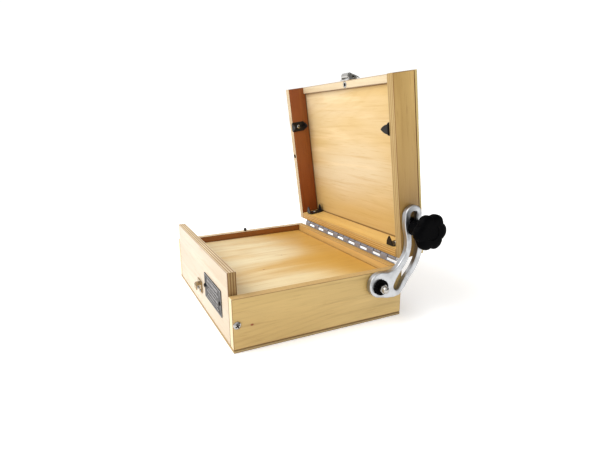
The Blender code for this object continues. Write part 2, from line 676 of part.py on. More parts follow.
def latch_base(finish, lid):
    """A plate on the lid's front end whose two ears hold the lever's pin."""
    back = LID_FRONT_Y - GAP
    low = LID_TOP - LATCH_BASE_HEIGHT
    base = block("latch_base", (-LATCH_HALF_WIDTH, back - LATCH_STEEL, low),
                 (LATCH_HALF_WIDTH, back, LID_TOP), finish["nickel"], lid)
    root = back - LATCH_STEEL / 2
    around = LATCH_PIN_RADIUS + 0.6 * MM
    outline = [(root, low + GAP), (root, LID_TOP - GAP),
               (LATCH_PIVOT_Y - around, LATCH_PIVOT_Z + around),
               (LATCH_PIVOT_Y - around * 1.5, LATCH_PIVOT_Z),
               (LATCH_PIVOT_Y - around, LATCH_PIVOT_Z - around)]
    inner = LEVER_HALF_WIDTH + GAP
    outer = inner + LATCH_STEEL

    def ears(shape):
        add_prism(shape, outline, -outer, -inner)
        add_prism(shape, outline, inner, outer)
    join(base, mesh_from("ears", ears), lid)
    reach = outer + OVERSHOOT
    start = [(-reach, LATCH_PIVOT_Y, LATCH_PIVOT_Z)]
    cut(base, rod_mesh(start, (1, 0, 0), 2 * reach, LATCH_PIN_RADIUS + GAP), lid)
    end = outer + 0.7 * MM
    profile = [(0, LATCH_PIN_RADIUS), (2 * end, LATCH_PIN_RADIUS)]
    place = (-end, LATCH_PIVOT_Y, LATCH_PIVOT_Z)
    rod("latch_lever_pin", profile, place, (1, 0, 0), finish["nickel"], lid)


def latch_lever(finish, lid):
    """A lever thrown back over the lid, and the wire bail that turns in its middle."""
    frame = Frame("latch_lever_axis", (0, LATCH_PIVOT_Y, LATCH_PIVOT_Z), lid, -LEVER_TILT)
    half = LEVER_HALF_WIDTH

    def across(y, z, radius, length, segments=16):
        return rod_mesh([(-length / 2, y, z)], (1, 0, 0), length, radius, segments)
    barrel = across(LATCH_PIVOT_Y, LATCH_PIVOT_Z, LEVER_BARREL, 2 * half)
    lever = add_object("latch_lever", barrel, finish["nickel"], frame)
    near = LATCH_PIVOT_Y - 1 * MM
    strip = [(near - LATCH_STEEL, LATCH_PIVOT_Z), (near, LATCH_PIVOT_Z),
             (near, LATCH_PIVOT_Z + LEVER_LENGTH), (near - LATCH_STEEL, LATCH_PIVOT_Z + LEVER_LENGTH)]
    join(lever, mesh_from("strip", lambda s: add_prism(s, strip, -half, half)), frame)
    through = 2 * (half + OVERSHOOT)
    cut(lever, across(LATCH_PIVOT_Y, LATCH_PIVOT_Z, LATCH_PIN_RADIUS + GAP, through), frame)
    bail_y = LATCH_PIVOT_Y + LATCH_STEEL
    bail_z = LATCH_PIVOT_Z + BAIL_OFFSET
    join(lever, across(bail_y, bail_z, BAIL_BARREL, 2 * (half - GAP)), frame)
    cut(lever, across(bail_y, bail_z, BAIL_WIRE + GAP, through), frame)
    bail_frame = Frame("latch_bail_axis", (0, bail_y, bail_z), frame, LEVER_TILT - BAIL_LEAN)
    add_object("latch_bail", bail_mesh(bail_y, bail_z), finish["nickel"], bail_frame)


def bail_mesh(y, z):
    """A closed wire loop: one side runs through the lever, the other catches the hook."""
    route = []
    far = BAIL_LENGTH - BAIL_FAR_CORNER
    for side, level, corner, first in (
            (1, BAIL_NEAR_CORNER, BAIL_NEAR_CORNER, 270), (1, far, BAIL_FAR_CORNER, 0),
            (-1, far, BAIL_FAR_CORNER, 90), (-1, BAIL_NEAR_CORNER, BAIL_NEAR_CORNER, 180)):
        middle = Vector((side * (BAIL_HALF_WIDTH - corner), level))
        for step in range(4):
            angle = math.radians(first + 30 * step)
            route.append(middle + corner * Vector((math.cos(angle), math.sin(angle))))

    sides = 8

    def build(shape):
        count = len(route)
        rings = []
        for i, point in enumerate(route):
            along = (route[(i + 1) % count] - route[i - 1]).normalized()
            out = Vector((along.y, -along.x))
            ring = []
            for k in range(sides):
                angle = 2 * math.pi * k / sides
                spot = point + out * BAIL_WIRE * math.cos(angle)
                ring.append(shape.verts.new((spot.x, y + spot.y, z + BAIL_WIRE * math.sin(angle))))
            rings.append(ring)
        for i in range(count):
            ring, following = rings[i], rings[(i + 1) % count]
            for k in range(sides):
                n = (k + 1) % sides
                shape.faces.new((ring[k], ring[n], following[n], following[k]))
    return mesh_from("bail", build)


def slotted_arm(finish, arm):
    outline = [(p.x, p.y) for p in arm_outline()]
    piece = add_object("slotted_arm", mesh_from("arm", lambda s: add_prism(
        s, outline, ARM_INNER_X, ARM_OUTER_X)), finish["aluminium"], arm)
    slot = [(p.x, p.y) for p in slot_outline()]
    cut(piece, mesh_from("slot", lambda s: add_prism(
        s, slot, ARM_INNER_X - OVERSHOOT, ARM_OUTER_X + OVERSHOOT)), arm)
    bore = [(ARM_INNER_X - OVERSHOOT, ARM_PIVOT_Y, ARM_PIVOT_Z)]
    depth = ARM_OUTER_X - ARM_INNER_X + 2 * OVERSHOOT
    cut(piece, rod_mesh(bore, (1, 0, 0), depth, PIVOT_RADIUS + GAP, 20), arm)
    soften(piece, ARM_EDGE_ROUND)


def arm_pivot(finish, wall):
    """A stud in the base's wall with a washer each side of the arm and a cap nut."""
    place = (0, ARM_PIVOT_Y, ARM_PIVOT_Z)
    bore = PIVOT_RADIUS + GAP
    washer_start = ARM_OUTER_X + GAP
    washer_end = washer_start + WASHER_THICKNESS
    nut_start = washer_end + GAP
    stud = [(STUD_ROOT, PIVOT_RADIUS), (nut_start + STUD_IN_NUT, PIVOT_RADIUS)]
    rod("arm_pivot_stud", stud, place, (1, 0, 0), finish["nickel"], segments=16)
    pilot(wall, [(HALF_WIDTH, ARM_PIVOT_Y, ARM_PIVOT_Z)], (1, 0, 0), bore, WALL - 2 * GAP)
    for name, start, end in (
            ("arm_wall_washer", HALF_WIDTH + GAP, ARM_INNER_X - GAP),
            ("arm_pivot_washer", washer_start, washer_end)):
        ring = mesh_from(name, lambda s: add_ring(s, bore, WASHER_RADIUS, start, end, place, (1, 0, 0)))
        smooth(add_object(name, ring, finish["plastic"]))

    hexagon = [(nut_start, NUT_RADIUS), (nut_start + NUT_HEIGHT, NUT_RADIUS)]
    nut = mesh_from("nut", lambda s: add_rod(s, hexagon, place, (1, 0, 0), 6))
    foot = nut_start + NUT_HEIGHT - 2 * GAP
    profile = [(foot + DOME_RISE * math.sin(a), DOME_RADIUS * math.cos(a))
               for a in (math.radians(d) for d in (0, 20, 40, 60, 78))]
    cap = add_object("arm_pivot_cap_nut", nut, finish["nickel"])
    join(cap, mesh_from("dome", lambda s: add_rod(s, profile, place, (1, 0, 0), 18)))
    start = [(nut_start - OVERSHOOT, ARM_PIVOT_Y, ARM_PIVOT_Z)]
    cut(cap, rod_mesh(start, (1, 0, 0), OVERSHOOT + STUD_IN_NUT + GAP, bore))


def clamp(finish, lid, wall):
    """The stud in the lid's wall, a washer behind the arm, and the knob on the outer end."""
    place = Vector((0, HINGE_Y - STUD_FORWARD, HINGE_Z + STUD_RISE))
    end = (KNOB_HEAD_START + KNOB_HEAD_END) / 2
    stud = [(STUD_ROOT, STUD_RADIUS), (end, STUD_RADIUS)]
    rod("clamp_stud", stud, place, (1, 0, 0), finish["nickel"], lid, 16)
    bore = STUD_RADIUS + GAP
    pilot(wall, [place + Vector((HALF_WIDTH, 0, 0))], (1, 0, 0), bore, WALL - 2 * GAP, lid)
    washer = mesh_from("washer", lambda s: add_ring(
        s, bore, CLAMP_WASHER_RADIUS, HALF_WIDTH + GAP, ARM_INNER_X - GAP, place, (1, 0, 0)))
    smooth(add_object("clamp_washer", washer, finish["plastic"], lid))

    knob = Frame("knob_axis", place, lid)
    profile = [(KNOB_HUB_START, KNOB_HUB_RADIUS), (KNOB_HEAD_START + OVERSHOOT, KNOB_HUB_RADIUS)]
    hub = mesh_from("hub", lambda s: add_rod(s, profile, place, (1, 0, 0), 24))
    head = mesh_from("knob", lambda s: knob_head(s, place))
    piece = add_object("clamp_knob", head, finish["plastic"], knob)
    join(piece, hub, knob)
    start = [place + Vector((KNOB_HUB_START - OVERSHOOT, 0, 0))]
    depth = end - KNOB_HUB_START + 2 * OVERSHOOT
    cut(piece, rod_mesh(start, (1, 0, 0), depth, bore, 16), knob)
    smooth(piece)


def knob_head(shape, place):
    """Round lobes, with rounded rims front and back."""
    thickness = KNOB_HEAD_END - KNOB_HEAD_START
    points = KNOB_LOBES * 8
    rings = []
    for along, scale in KNOB_RIMS:
        ring = []
        for i in range(points):
            angle = 2 * math.pi * i / points
            lobe = abs(math.cos(KNOB_LOBES * (angle - KNOB_TURN) / 2))
            radius = (KNOB_RADIUS - KNOB_LOBE_DEPTH * (1 - lobe)) * scale
            ring.append(shape.verts.new((
                KNOB_HEAD_START + along * thickness,
                place.y + radius * math.cos(angle), place.z + radius * math.sin(angle))))
        rings.append(ring)
    for first, second in zip(rings[:-1], rings[1:]):
        for i in range(points):
            j = (i + 1) % points
            shape.faces.new((first[i], first[j], second[j], second[i]))
    shape.faces.new(rings[0])
    shape.faces.new(reversed(rings[-1]))


def main():
    clear_scene()
    finish = make_materials()
    lid = Frame("lid_axis", (0, HINGE_Y, HINGE_Z), turn=-LID_OPEN)
    arm = Frame("arm_axis", (ARM_INNER_X, ARM_PIVOT_Y, ARM_PIVOT_Z))
    palette = Frame("palette_lift", (0, 0, PALETTE_TOP))
    left, right, rear, front = base_box(finish)
    palette_and_cleats(finish, palette)
    corner_screws(finish, left, right, front)
    name_plate(finish, front)
    latch_catch(finish, front)
    locating_pin(finish, left)
    lid_left, lid_right, rail = lid_box(finish, lid)
    hinge(finish, rear, rail, lid)
    panel_clips(finish, lid, lid_left, lid_right, rail)
    latch_base(finish, lid)
    latch_lever(finish, lid)
    slotted_arm(finish, arm)
    arm_pivot(finish, right)
    clamp(finish, lid, lid_right)


main()
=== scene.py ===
"""Looks of the painter's plywood box: boards with grain and ply edges, metal fittings and the knob.

Boards and fittings of the lid are drawn in the shut lid's coordinates and turned open with it,
so that the grain runs along each board. Lengths are metres, and millimetres inside materials.
"""

import json
import math

import bmesh
import bpy
from mathutils import Matrix, Vector


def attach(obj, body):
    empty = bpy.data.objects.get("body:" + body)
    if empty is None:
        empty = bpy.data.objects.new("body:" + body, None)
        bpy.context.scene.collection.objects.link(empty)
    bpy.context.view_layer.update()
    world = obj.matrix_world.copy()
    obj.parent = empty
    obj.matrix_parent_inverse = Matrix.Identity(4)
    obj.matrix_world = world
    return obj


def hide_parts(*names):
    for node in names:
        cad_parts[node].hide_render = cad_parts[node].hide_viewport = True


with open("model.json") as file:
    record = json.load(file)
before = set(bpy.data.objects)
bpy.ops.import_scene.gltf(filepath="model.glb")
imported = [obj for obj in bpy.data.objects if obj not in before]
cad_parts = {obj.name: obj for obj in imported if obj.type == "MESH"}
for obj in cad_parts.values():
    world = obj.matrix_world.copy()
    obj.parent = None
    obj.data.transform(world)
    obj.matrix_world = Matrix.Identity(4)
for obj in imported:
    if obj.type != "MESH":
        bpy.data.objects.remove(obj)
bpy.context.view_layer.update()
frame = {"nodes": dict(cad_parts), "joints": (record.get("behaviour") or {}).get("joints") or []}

MM = 0.001
X, Y, Z = 0, 1, 2
UP = (0, 0, 1)
DOWN = (0, 0, -1)
OUTWARD = (1, 0, 0)  # the stay's side of the box
JOINTS = {joint["name"]: joint for joint in frame["joints"]}
HINGE = Vector(JOINTS["lid_hinge"]["pos_m"])
LID_OPEN = math.radians(-JOINTS["lid_hinge"]["range_deg"][0])
AT_REST = Matrix.Identity(4)
OPENED = Matrix.Translation(HINGE) @ Matrix.Rotation(-LID_OPEN, 4, "X") @ Matrix.Translation(-HINGE)
KEY_FROM = Vector((-0.25, -1.0, 1.15))  # from the object towards the key light and the bright sky

# boards, in mm
LEFT_INNER_FACE = (X, -112.0, -108.0)  # where a left wall's tone changes over to the painted shade of its inner face
LID_WELL = ((-106.0, -83.0, 80.1), (106.0, 86.0, 83.1))  # the lid panel's part between the walls, with a line of painted shade round its outline

# hinge
KNUCKLES = 16
KNUCKLE_PITCH = 12.7 * MM
KNUCKLE_GAP = 0.55 * MM  # on each side of a knuckle and its tongue

# name plate: rows of bars, (level, length, height) in mm, and the least pitch of the bars in mm
PLATE_ROWS = ((9.0, 40.0, 3.4), (4.2, 44.0, 2.2), (0.6, 30.0, 1.6),
              (-3.0, 44.0, 2.2), (-7.0, 36.0, 1.6), (-10.2, 44.0, 1.2))
PLATE_BAR_PITCH = 4

# panel clips: (corner, axis, way along it from the wall)
CLIP_CORNERS = (("upper_left", X, 1), ("upper_right", X, -1),
                ("lower_left", Y, -1), ("lower_right", Y, -1))

# screw heads: (radius, height)
CORNER_HEAD = (3.9 * MM, 2.3 * MM)
LEAF_HEAD = (2.7 * MM, 1.0 * MM)
PLATE_HEAD = (2.4 * MM, 1.5 * MM)
CATCH_HEAD = (2.0 * MM, 1.2 * MM)
CLIP_HEAD = (2.6 * MM, 1.4 * MM)


def box_of(node, place=AT_REST):
    """Lowest and highest corner of a CAD node, in the coordinates that place maps to the frame."""
    back = place.inverted()
    corners = [back @ vertex.co for vertex in frame["nodes"][node].data.vertices]
    low = Vector([min(c[i] for c in corners) for i in range(3)])
    high = Vector([max(c[i] for c in corners) for i in range(3)])
    return low, high


class Graph:
    """A material's node tree, with a short call for each kind of node that is used here."""

    def __init__(self, name):
        self.material = bpy.data.materials.new(name)
        self.material.use_nodes = True
        self.tree = self.material.node_tree
        self.shader = self.tree.nodes["Principled BSDF"]
        coordinates = self.tree.nodes.new("ShaderNodeTexCoord")
        scaled = self.tree.nodes.new("ShaderNodeVectorMath")
        scaled.operation = "SCALE"
        scaled.inputs["Scale"].default_value = 1 / MM
        self.link(coordinates.outputs["Object"], scaled.inputs[0])
        self.place = scaled.outputs[0]
        self.normal = coordinates.outputs["Normal"]

    def link(self, value, socket):
        """Link a socket's value, or set a plain number or colour."""
        if isinstance(value, bpy.types.NodeSocket):
            self.tree.links.new(value, socket)
        else:
            socket.default_value = value

    def set(self, constants):
        """Set what is the same all over the surface on the shader's own sockets."""
        for name, value in constants.items():
            self.shader.inputs[name].default_value = value

    def math(self, operation, first, second=0.0, third=None):
        """A math node's result; MULTIPLY_ADD is first times second, plus third."""
        node = self.tree.nodes.new("ShaderNodeMath")
        node.operation = operation
        self.link(first, node.inputs[0])
        self.link(second, node.inputs[1])
        if third is not None:
            self.link(third, node.inputs[2])
        return node.outputs[0]

    def axes(self, place=None):
        """The X, Y and Z of the place on the object in millimetres, or of another vector."""
        node = self.tree.nodes.new("ShaderNodeSeparateXYZ")
        self.link(place or self.place, node.inputs[0])
        return list(node.outputs)

    def mapped(self, scale=(1, 1, 1), shift=(0, 0, 0), turn=(0, 0, 0)):
        """The place on the object in millimetres, turned, scaled and shifted."""
        node = self.tree.nodes.new("ShaderNodeMapping")
        self.link(self.place, node.inputs["Vector"])
        node.inputs["Scale"].default_value = scale
        node.inputs["Location"].default_value = shift
        node.inputs["Rotation"].default_value = turn
        return node.outputs[0]

    def noise(self, place, scale, detail, roughness=0.5, distortion=0.0):
        """Noise about 0.5; scale is how often it repeats in a millimetre."""
        node = self.tree.nodes.new("ShaderNodeTexNoise")
        self.link(place, node.inputs["Vector"])
        node.inputs["Scale"].default_value = scale
        node.inputs["Detail"].default_value = detail
        node.inputs["Roughness"].default_value = roughness
        node.inputs["Distortion"].default_value = distortion
        return node.outputs[0]

    def fade(self, value, start, end, low=0.0, high=1.0):
        """Smoothly from low where value is start to high where it is end."""
        node = self.tree.nodes.new("ShaderNodeMapRange")
        node.interpolation_type = "SMOOTHSTEP"
        self.link(value, node.inputs["Value"])
        limits = {"From Min": start, "From Max": end, "To Min": low, "To Max": high}
        for name, number in limits.items():
            self.link(number, node.inputs[name])
        return node.outputs[0]

    def mix(self, factor, first, second):
        """From the first colour to the second; the numbers are the mix node's colour sockets."""
        node = self.tree.nodes.new("ShaderNodeMix")
        node.data_type = "RGBA"
        self.link(factor, node.inputs[0])
        for value, socket in ((first, node.inputs[6]), (second, node.inputs[7])):
            self.link((*value, 1.0) if isinstance(value, tuple) else value, socket)
        return node.outputs[2]

    def distance(self, spot, stretch):
        """Distance from a spot in millimetres, each axis divided by its stretch."""
        scale = tuple(1 / s for s in stretch)
        moved = self.mapped(scale, tuple(-c * s for c, s in zip(spot, scale)))
        node = self.tree.nodes.new("ShaderNodeVectorMath")
        node.operation = "LENGTH"
        self.link(moved, node.inputs[0])
        return node.outputs["Value"]

    def bump(self, height, depth, strength):
        """Relief of the surface: a height of 1 is depth metres."""
        node = self.tree.nodes.new("ShaderNodeBump")
        node.inputs["Strength"].default_value = strength
        node.inputs["Distance"].default_value = depth
        self.link(height, node.inputs["Height"])
        self.link(node.outputs[0], self.shader.inputs["Normal"])

    def paint(self, colour, roughness):
        """Set the colour and the roughness, and hand over the finished material."""
        self.link(colour, self.shader.inputs["Base Color"])
        self.link(roughness, self.shader.inputs["Roughness"])
        return self.material


def edge_distance(g, box):
    """Distance in mm from the nearest edge of a board, on any of its faces."""
    low, high = (corner / MM for corner in box)
    gaps = []
    for axis, value in enumerate(g.axes()):
        above = g.math("SUBTRACT", value, low[axis])
        below = g.math("SUBTRACT", high[axis], value)
        gaps.append(g.math("MINIMUM", above, below))
    least = g.math("MINIMUM", gaps[0], gaps[1])
    most = g.math("MAXIMUM", gaps[0], gaps[1])
    return g.math("MAXIMUM", least, g.math("MINIMUM", most, gaps[2]))


def along_grain(grain, stretch):
    """A scale that draws a pattern out along the grain, stretch times."""
    scale = [1.0, 1.0, 1.0]
    scale[grain] = 1 / stretch
    return tuple(scale)


def veneer(name, box, grain, tone, seed, figure=0.14, rim=1.3, rich=(), knots=(), crease=None,
           inner=None):
    """Rotary-cut birch: broad tone bands, contour figure, pores, darkened edges and knots, with
    painted shade.

    tone is (light, dark, line), figure is how strong the contours are and rim how wide, in mm,
    the darkened edges are; a wide rim, as on the palette, is painted shade in the gap round it.
    rich lists (axis, start, end, share) in mm, where the dark tone fades in from start to
    end, painted shade across the board. knots are (spot, radius) in mm. crease is a box in mm,
    on whose outline other boards stand and leave a line of painted shade. inner is (axis, start,
    end, tone): the painted shade of the face inside the box, where that axis has passed from
    start to end in mm.
    """
    g = Graph(name)
    shift = (seed * 17.3, seed * 31.7, seed * 11.9)
    light, dark, line, bright = veneer_tones(g, tone, inner)

    broad = g.noise(g.mapped(along_grain(grain, 5), shift), 0.020, 2.0, 0.5, 0.3)
    colour = g.mix(g.fade(broad, 0.34, 0.68, 0.0, 0.8), light, dark)
    pale = g.noise(g.mapped(along_grain(grain, 14), shift), 0.11, 2.0, 0.6)
    colour = g.mix(g.fade(pale, 0.50, 0.74, 0.0, 0.42), colour, bright)
    # painted shade: the dark tone fades in across the board, along an axis
    for axis, start, end, share in rich:
        ragged = g.math("MULTIPLY_ADD", broad, 30.0, g.math("SUBTRACT", g.axes()[axis], 15.0))
        colour = g.mix(g.fade(ragged, start, end, 0.0, share), colour, dark)

    contour = g.noise(g.mapped(along_grain(grain, 9), shift), 0.014, 1.0, 0.4, 0.2)
    waves = g.math("SINE", g.math("MULTIPLY", contour, 130.0))
    patchy = g.fade(g.noise(g.mapped(shift=shift), 0.02, 2.0), 0.35, 0.7, figure * 0.2, figure)
    colour = g.mix(g.math("MULTIPLY", g.fade(waves, 0.1, 1.0), patchy), colour, line)

    fibre = g.noise(g.mapped(along_grain(grain, 26), shift), 0.9, 4.0, 0.65)
    pores = g.fade(fibre, 0.54, 0.72)
    colour = g.mix(g.math("MULTIPLY", pores, 0.40), colour, line)
    streaks = g.noise(g.mapped(along_grain(grain, 30), shift), 0.22, 3.0, 0.6)
    colour = g.mix(g.fade(streaks, 0.50, 0.76, 0.0, 0.44), colour, line)
    colour = knotted(g, colour, line, grain, knots)

    # darker edges on each board; a wide rim, as on the palette, is painted shade in the gap round
    # it
    edge_darkening = g.math("MULTIPLY_ADD", fibre, 0.8, edge_distance(g, box))
    colour = g.mix(g.fade(edge_darkening, rim + 0.3, rim * 0.4, 0.0, 0.75), colour, DARK_EDGE_AND_SHADE)
    # painted shade where other boards stand on this one
    if crease:
        colour = creased(g, colour, *crease)
    rough = g.math("MULTIPLY_ADD", pores, 0.16, g.fade(broad, 0.3, 0.7, 0.40, 0.50))
    g.bump(g.math("MULTIPLY_ADD", fibre, 0.7, g.math("MULTIPLY", pores, -1.0)), 0.10 * MM, 0.6)
    g.set({"Coat Weight": 0.10, "Coat Roughness": 0.3, "Specular IOR Level": 0.35})
    return g.paint(colour, rough)


def veneer_tones(g, tone, inner):
    """The light, dark, line and bright tones. inner, if given, says where they change over
    to the painted shade of the face inside the box.
    """
    light, dark, line = tone
    bright = tuple(min(0.9, c * 1.24) for c in light)
    if not inner:
        return light, dark, line, bright
    # the tones of the inner face are painted shade
    axis, start, end, inner_shade = inner
    bright_inner_shade = tuple(c * 1.18 for c in inner_shade[0])
    inside = g.fade(g.axes()[axis], start, end)
    return [g.mix(inside, outer, other) for outer, other in zip((*tone, bright), (*inner_shade, bright_inner_shade))]


def knotted(g, colour, line, grain, knots):
    """Small pin knots: a dark core, and a halo drawn out along the grain."""
    wide = tuple(1.5 if axis == grain else 1.0 for axis in range(3))
    tail = tuple(6.5 if axis == grain else 0.7 for axis in range(3))
    for spot, radius in knots:
        core = g.fade(g.distance(spot, wide), radius * 1.1, radius * 0.35)
        halo = g.fade(g.distance(spot, tail), radius * 2.2, radius * 0.3, 0.0, 0.45)
        colour = g.mix(halo, colour, line)
        colour = g.mix(core, colour, KNOT)
    return colour


def creased(g, colour, low, high):
    """Painted shade: a dark line on the inner face, round the outline where other boards stand."""
    least = g.math("ABSOLUTE", edge_distance(g, (Vector(low) * MM, Vector(high) * MM)))
    inner_face = g.fade(g.axes()[Z], low[Z] + 0.8, low[Z] + 0.5)
    shadowed = g.math("MULTIPLY", g.fade(least, 2.0, 0.3, 0.0, 0.75), inner_face)
    return g.mix(shadowed, colour, DARK_EDGE_AND_SHADE)


def ply_edge(name, box, axis, tone, seed, plies, end=False):
    """The cut edge of a board whose plies are stacked along axis.

    Each ply that shows its long grain is pale and each one cut across is dark. The face plies
    show long grain on the board's long sides, and are cut across on its two ends.
    """
    g = Graph(name)
    pale, dark, glue = tone
    low, high = box[0][axis] / MM, box[1][axis] / MM
    shift = (seed * 13.1, seed * 7.7, seed * 23.3)
    stretch = [0.08, 0.08, 0.08]
    stretch[axis] = 1.0
    fine = g.noise(g.mapped(tuple(stretch), shift), 2.4, 2.0, 0.6)
    wobble = g.noise(g.mapped(shift=shift), 0.02, 1.0)
    across = g.math("SUBTRACT", g.axes()[axis], low)
    wander = g.math("MULTIPLY_ADD", wobble, 0.3, -0.15)
    level = g.math("MULTIPLY_ADD", across, plies / (high - low), wander)
    wave = g.math("SINE", g.math("MULTIPLY", level, math.pi))
    cut_across = g.fade(wave, 0.35, -0.25, 1.0, 0.0) if end else g.fade(wave, 0.10, -0.55)
    patch = g.noise(g.mapped(shift=shift), 0.03, 2.0)
    bright = g.mix(g.fade(patch, 0.35, 0.7, 0.0, 0.35), pale, dark)
    darkened = g.math("MULTIPLY", cut_across, g.fade(patch, 0.3, 0.7, 0.95, 0.75))
    colour = g.mix(darkened, bright, dark)
    colour = g.mix(g.fade(g.math("ABSOLUTE", wave), 0.25, 0.0, 0.0, 0.5), colour, glue)
    colour = g.mix(g.fade(fine, 0.60, 0.80, 0.0, 0.35), colour, glue)
    g.bump(g.math("MULTIPLY_ADD", cut_across, -0.8, fine), 0.10 * MM, 0.7)
    g.set({"Specular IOR Level": 0.25})
    return g.paint(colour, g.fade(fine, 0.3, 0.7, 0.55, 0.75))


def brushed(name, colour, roughness, seed, metallic=1.0, worn=None, grain=0.9, depth=0.02 * MM,
            specular=0.5, cut=None):
    """Plated or satin metal: smudges, fine scratches and, where worn is given, a rubbed tone.

    cut is (axis, tone): painted shade, a darker tone on the faces that don't look along axis,
    such as the walls of the arm's slot.
    """
    g = Graph(name)
    shift = (seed * 5.1, seed * 9.3, seed * 2.7)
    smudge = g.noise(g.mapped(shift=shift), 0.16, 3.0, 0.6)
    fine = g.noise(g.mapped(shift=shift), grain, 4.0, 0.7)
    scratch = g.noise(g.mapped((0.3, 3.0, 1.1), shift, (0.3, 0.5, 0.8)), 0.9, 2.0, 0.6)
    tint = tuple(c * 0.78 for c in colour)
    paint = g.mix(g.fade(smudge, 0.35, 0.7, 0.0, 0.6), colour, tint)
    if worn:
        paint = g.mix(g.fade(fine, 0.60, 0.74, 0.0, 0.7), paint, worn)
    # painted shade on the side faces
    if cut:
        across = g.math("ABSOLUTE", g.axes(g.normal)[cut[0]])
        paint = g.mix(g.fade(across, 0.45, 0.12), paint, cut[1])
    rough = g.math("ADD", g.fade(smudge, 0.3, 0.7, roughness * 0.8, roughness * 1.25),
                   g.fade(scratch, 0.55, 0.75, 0.0, 0.10))
    g.bump(g.math("ADD", fine, g.math("MULTIPLY", scratch, 0.6)), depth, 0.6)
    g.set({"Metallic": metallic, "Specular IOR Level": specular})
    return g.paint(paint, rough)


def moulded(name, colour, roughness, seed):
    """Black moulded plastic: a fine sparkle of texture, a little dust and rubbed high spots."""
    g = Graph(name)
    shift = (seed * 3.3, seed * 8.1, seed * 6.7)
    fine = g.noise(g.mapped(shift=shift), 2.2, 3.0, 0.7)
    dust = g.fade(g.noise(g.mapped(shift=shift), 0.12, 3.0, 0.6), 0.55, 0.8, 0.0, 0.5)
    paint = g.mix(dust, colour, tuple(c * 2.0 + 0.001 for c in colour))
    g.bump(fine, 0.08 * MM, 0.8)
    g.set({"Specular IOR Level": 0.03})
    return g.paint(paint, g.fade(fine, 0.3, 0.7, roughness * 0.85, roughness * 1.15))


def mesh_object(name, shape, materials):
    """An object from a bmesh, which is used up."""
    mesh = bpy.data.meshes.new(name)
    bmesh.ops.recalc_face_normals(shape, faces=shape.faces)
    shape.to_mesh(mesh)
    shape.free()
    for material in materials:
        mesh.materials.append(material)
    piece = bpy.data.objects.new(name, mesh)
    bpy.context.collection.objects.link(piece)
    return piece


def smooth(piece, angle):
    """Smooth shading, but for edges sharper than an angle in degrees."""
    piece.data.shade_smooth()
    piece.data.set_sharp_from_angle(angle=math.radians(angle))


def settle(piece, place, body, node):
    """Put a finished piece in the frame: its place, its body and what it stands for."""
    piece.matrix_world = place @ piece.matrix_world
    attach(piece, body)
    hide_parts(node)


def board(name, node, body, thin, grain, finishes, place, round_by, hole):
    """A board with rounded edges, in the finishes of its broad faces, sides, ends and hole.

    thin is the axis of its thickness. hole is (mouth, outward, radius, depth), drilled into a
    face against outward.
    """
    low, high = box_of(node, place)
    shape = bmesh.new()
    middle = (low + high) / 2
    bmesh.ops.create_cube(shape, size=1.0, matrix=Matrix.Translation(middle)
                          @ Matrix.Diagonal((*(high - low), 1.0)))
    bmesh.ops.bevel(shape, geom=list(shape.edges), offset=round_by, segments=3, profile=0.5,
                    affect="EDGES", clamp_overlap=True)
    bmesh.ops.recalc_face_normals(shape, faces=shape.faces)
    for face in shape.faces:
        if abs(face.normal[thin]) > 0.6:
            face.material_index = 0
        else:
            face.material_index = 2 if abs(face.normal[grain]) > 0.6 else 1
    piece = mesh_object(name, shape, finishes)
    if hole:
        drill(piece, *hole, finish=len(finishes) - 1)
    smooth(piece, 30)
    settle(piece, place, body, node)


def drill(piece, mouth, outward, radius, depth, finish):
    """A blind hole in a piece that hasn't been placed yet; finish is its material's index."""
    shape = bmesh.new()
    turned_mesh(shape, [(-depth, radius), (depth, radius)], 32)
    for face in shape.faces:
        face.material_index = finish
    cutter = mesh_object(piece.name + "_drill", shape, piece.data.materials)
    cutter.matrix_world = facing(outward, mouth)
    opening = piece.modifiers.new("hole", "BOOLEAN")
    opening.operation = "DIFFERENCE"
    opening.object = cutter
    applied(piece)
    bpy.data.objects.remove(cutter, do_unlink=True)


def turned_mesh(shape, profile, segments, wave=None):
    """Turn (height, radius) points about local Z, closed at both ends.

    wave gives, for an angle and a radius, what the radius is multiplied by there.
    """
    rings = []
    for height, radius in profile:
        ring = []
        for i in range(segments):
            angle = 2 * math.pi * i / segments
            reach = radius * (wave(angle, radius) if wave else 1.0)
            ring.append(shape.verts.new((reach * math.cos(angle), reach * math.sin(angle), height)))
        rings.append(ring)
    for first, second in zip(rings, rings[1:]):
        for i in range(segments):
            j = (i + 1) % segments
            shape.faces.new((first[i], first[j], second[j], second[i]))
    shape.faces.new(reversed(rings[0]))
    shape.faces.new(rings[-1])


def facing(direction, spot):
    """Local Z along direction, local origin at spot."""
    return Matrix.Translation(spot) @ Vector(direction).to_track_quat("Z", "Y").to_matrix().to_4x4()


def refined(name, node, body, material, width, place=AT_REST):
    """The CAD solid itself, with its facets merged and its sharp edges rounded."""
    back = place.inverted()
    shape = bmesh.new()
    shape.from_mesh(frame["nodes"][node].data)
    bmesh.ops.transform(shape, matrix=back, verts=shape.verts)
    bmesh.ops.remove_doubles(shape, verts=shape.verts, dist=0.002 * MM)
    bmesh.ops.dissolve_limit(shape, angle_limit=math.radians(0.6), verts=shape.verts,
                             edges=shape.edges)
    piece = mesh_object(name, shape, (material,))
    rounding = piece.modifiers.new("rounding", "BEVEL")
    rounding.width = width
    rounding.segments = 3
    rounding.limit_method = "ANGLE"
    rounding.angle_limit = math.radians(28)
    rounding.use_clamp_overlap = False
    rounding.harden_normals = False
    smooth(piece, 40)
    settle(piece, place, body, node)


def applied(piece):
    """Apply the piece's modifiers to its mesh."""
    bpy.context.view_layer.update()
    graph = bpy.context.evaluated_depsgraph_get()
    mesh = bpy.data.meshes.new_from_object(piece.evaluated_get(graph))
    piece.modifiers.clear()
    piece.data = mesh


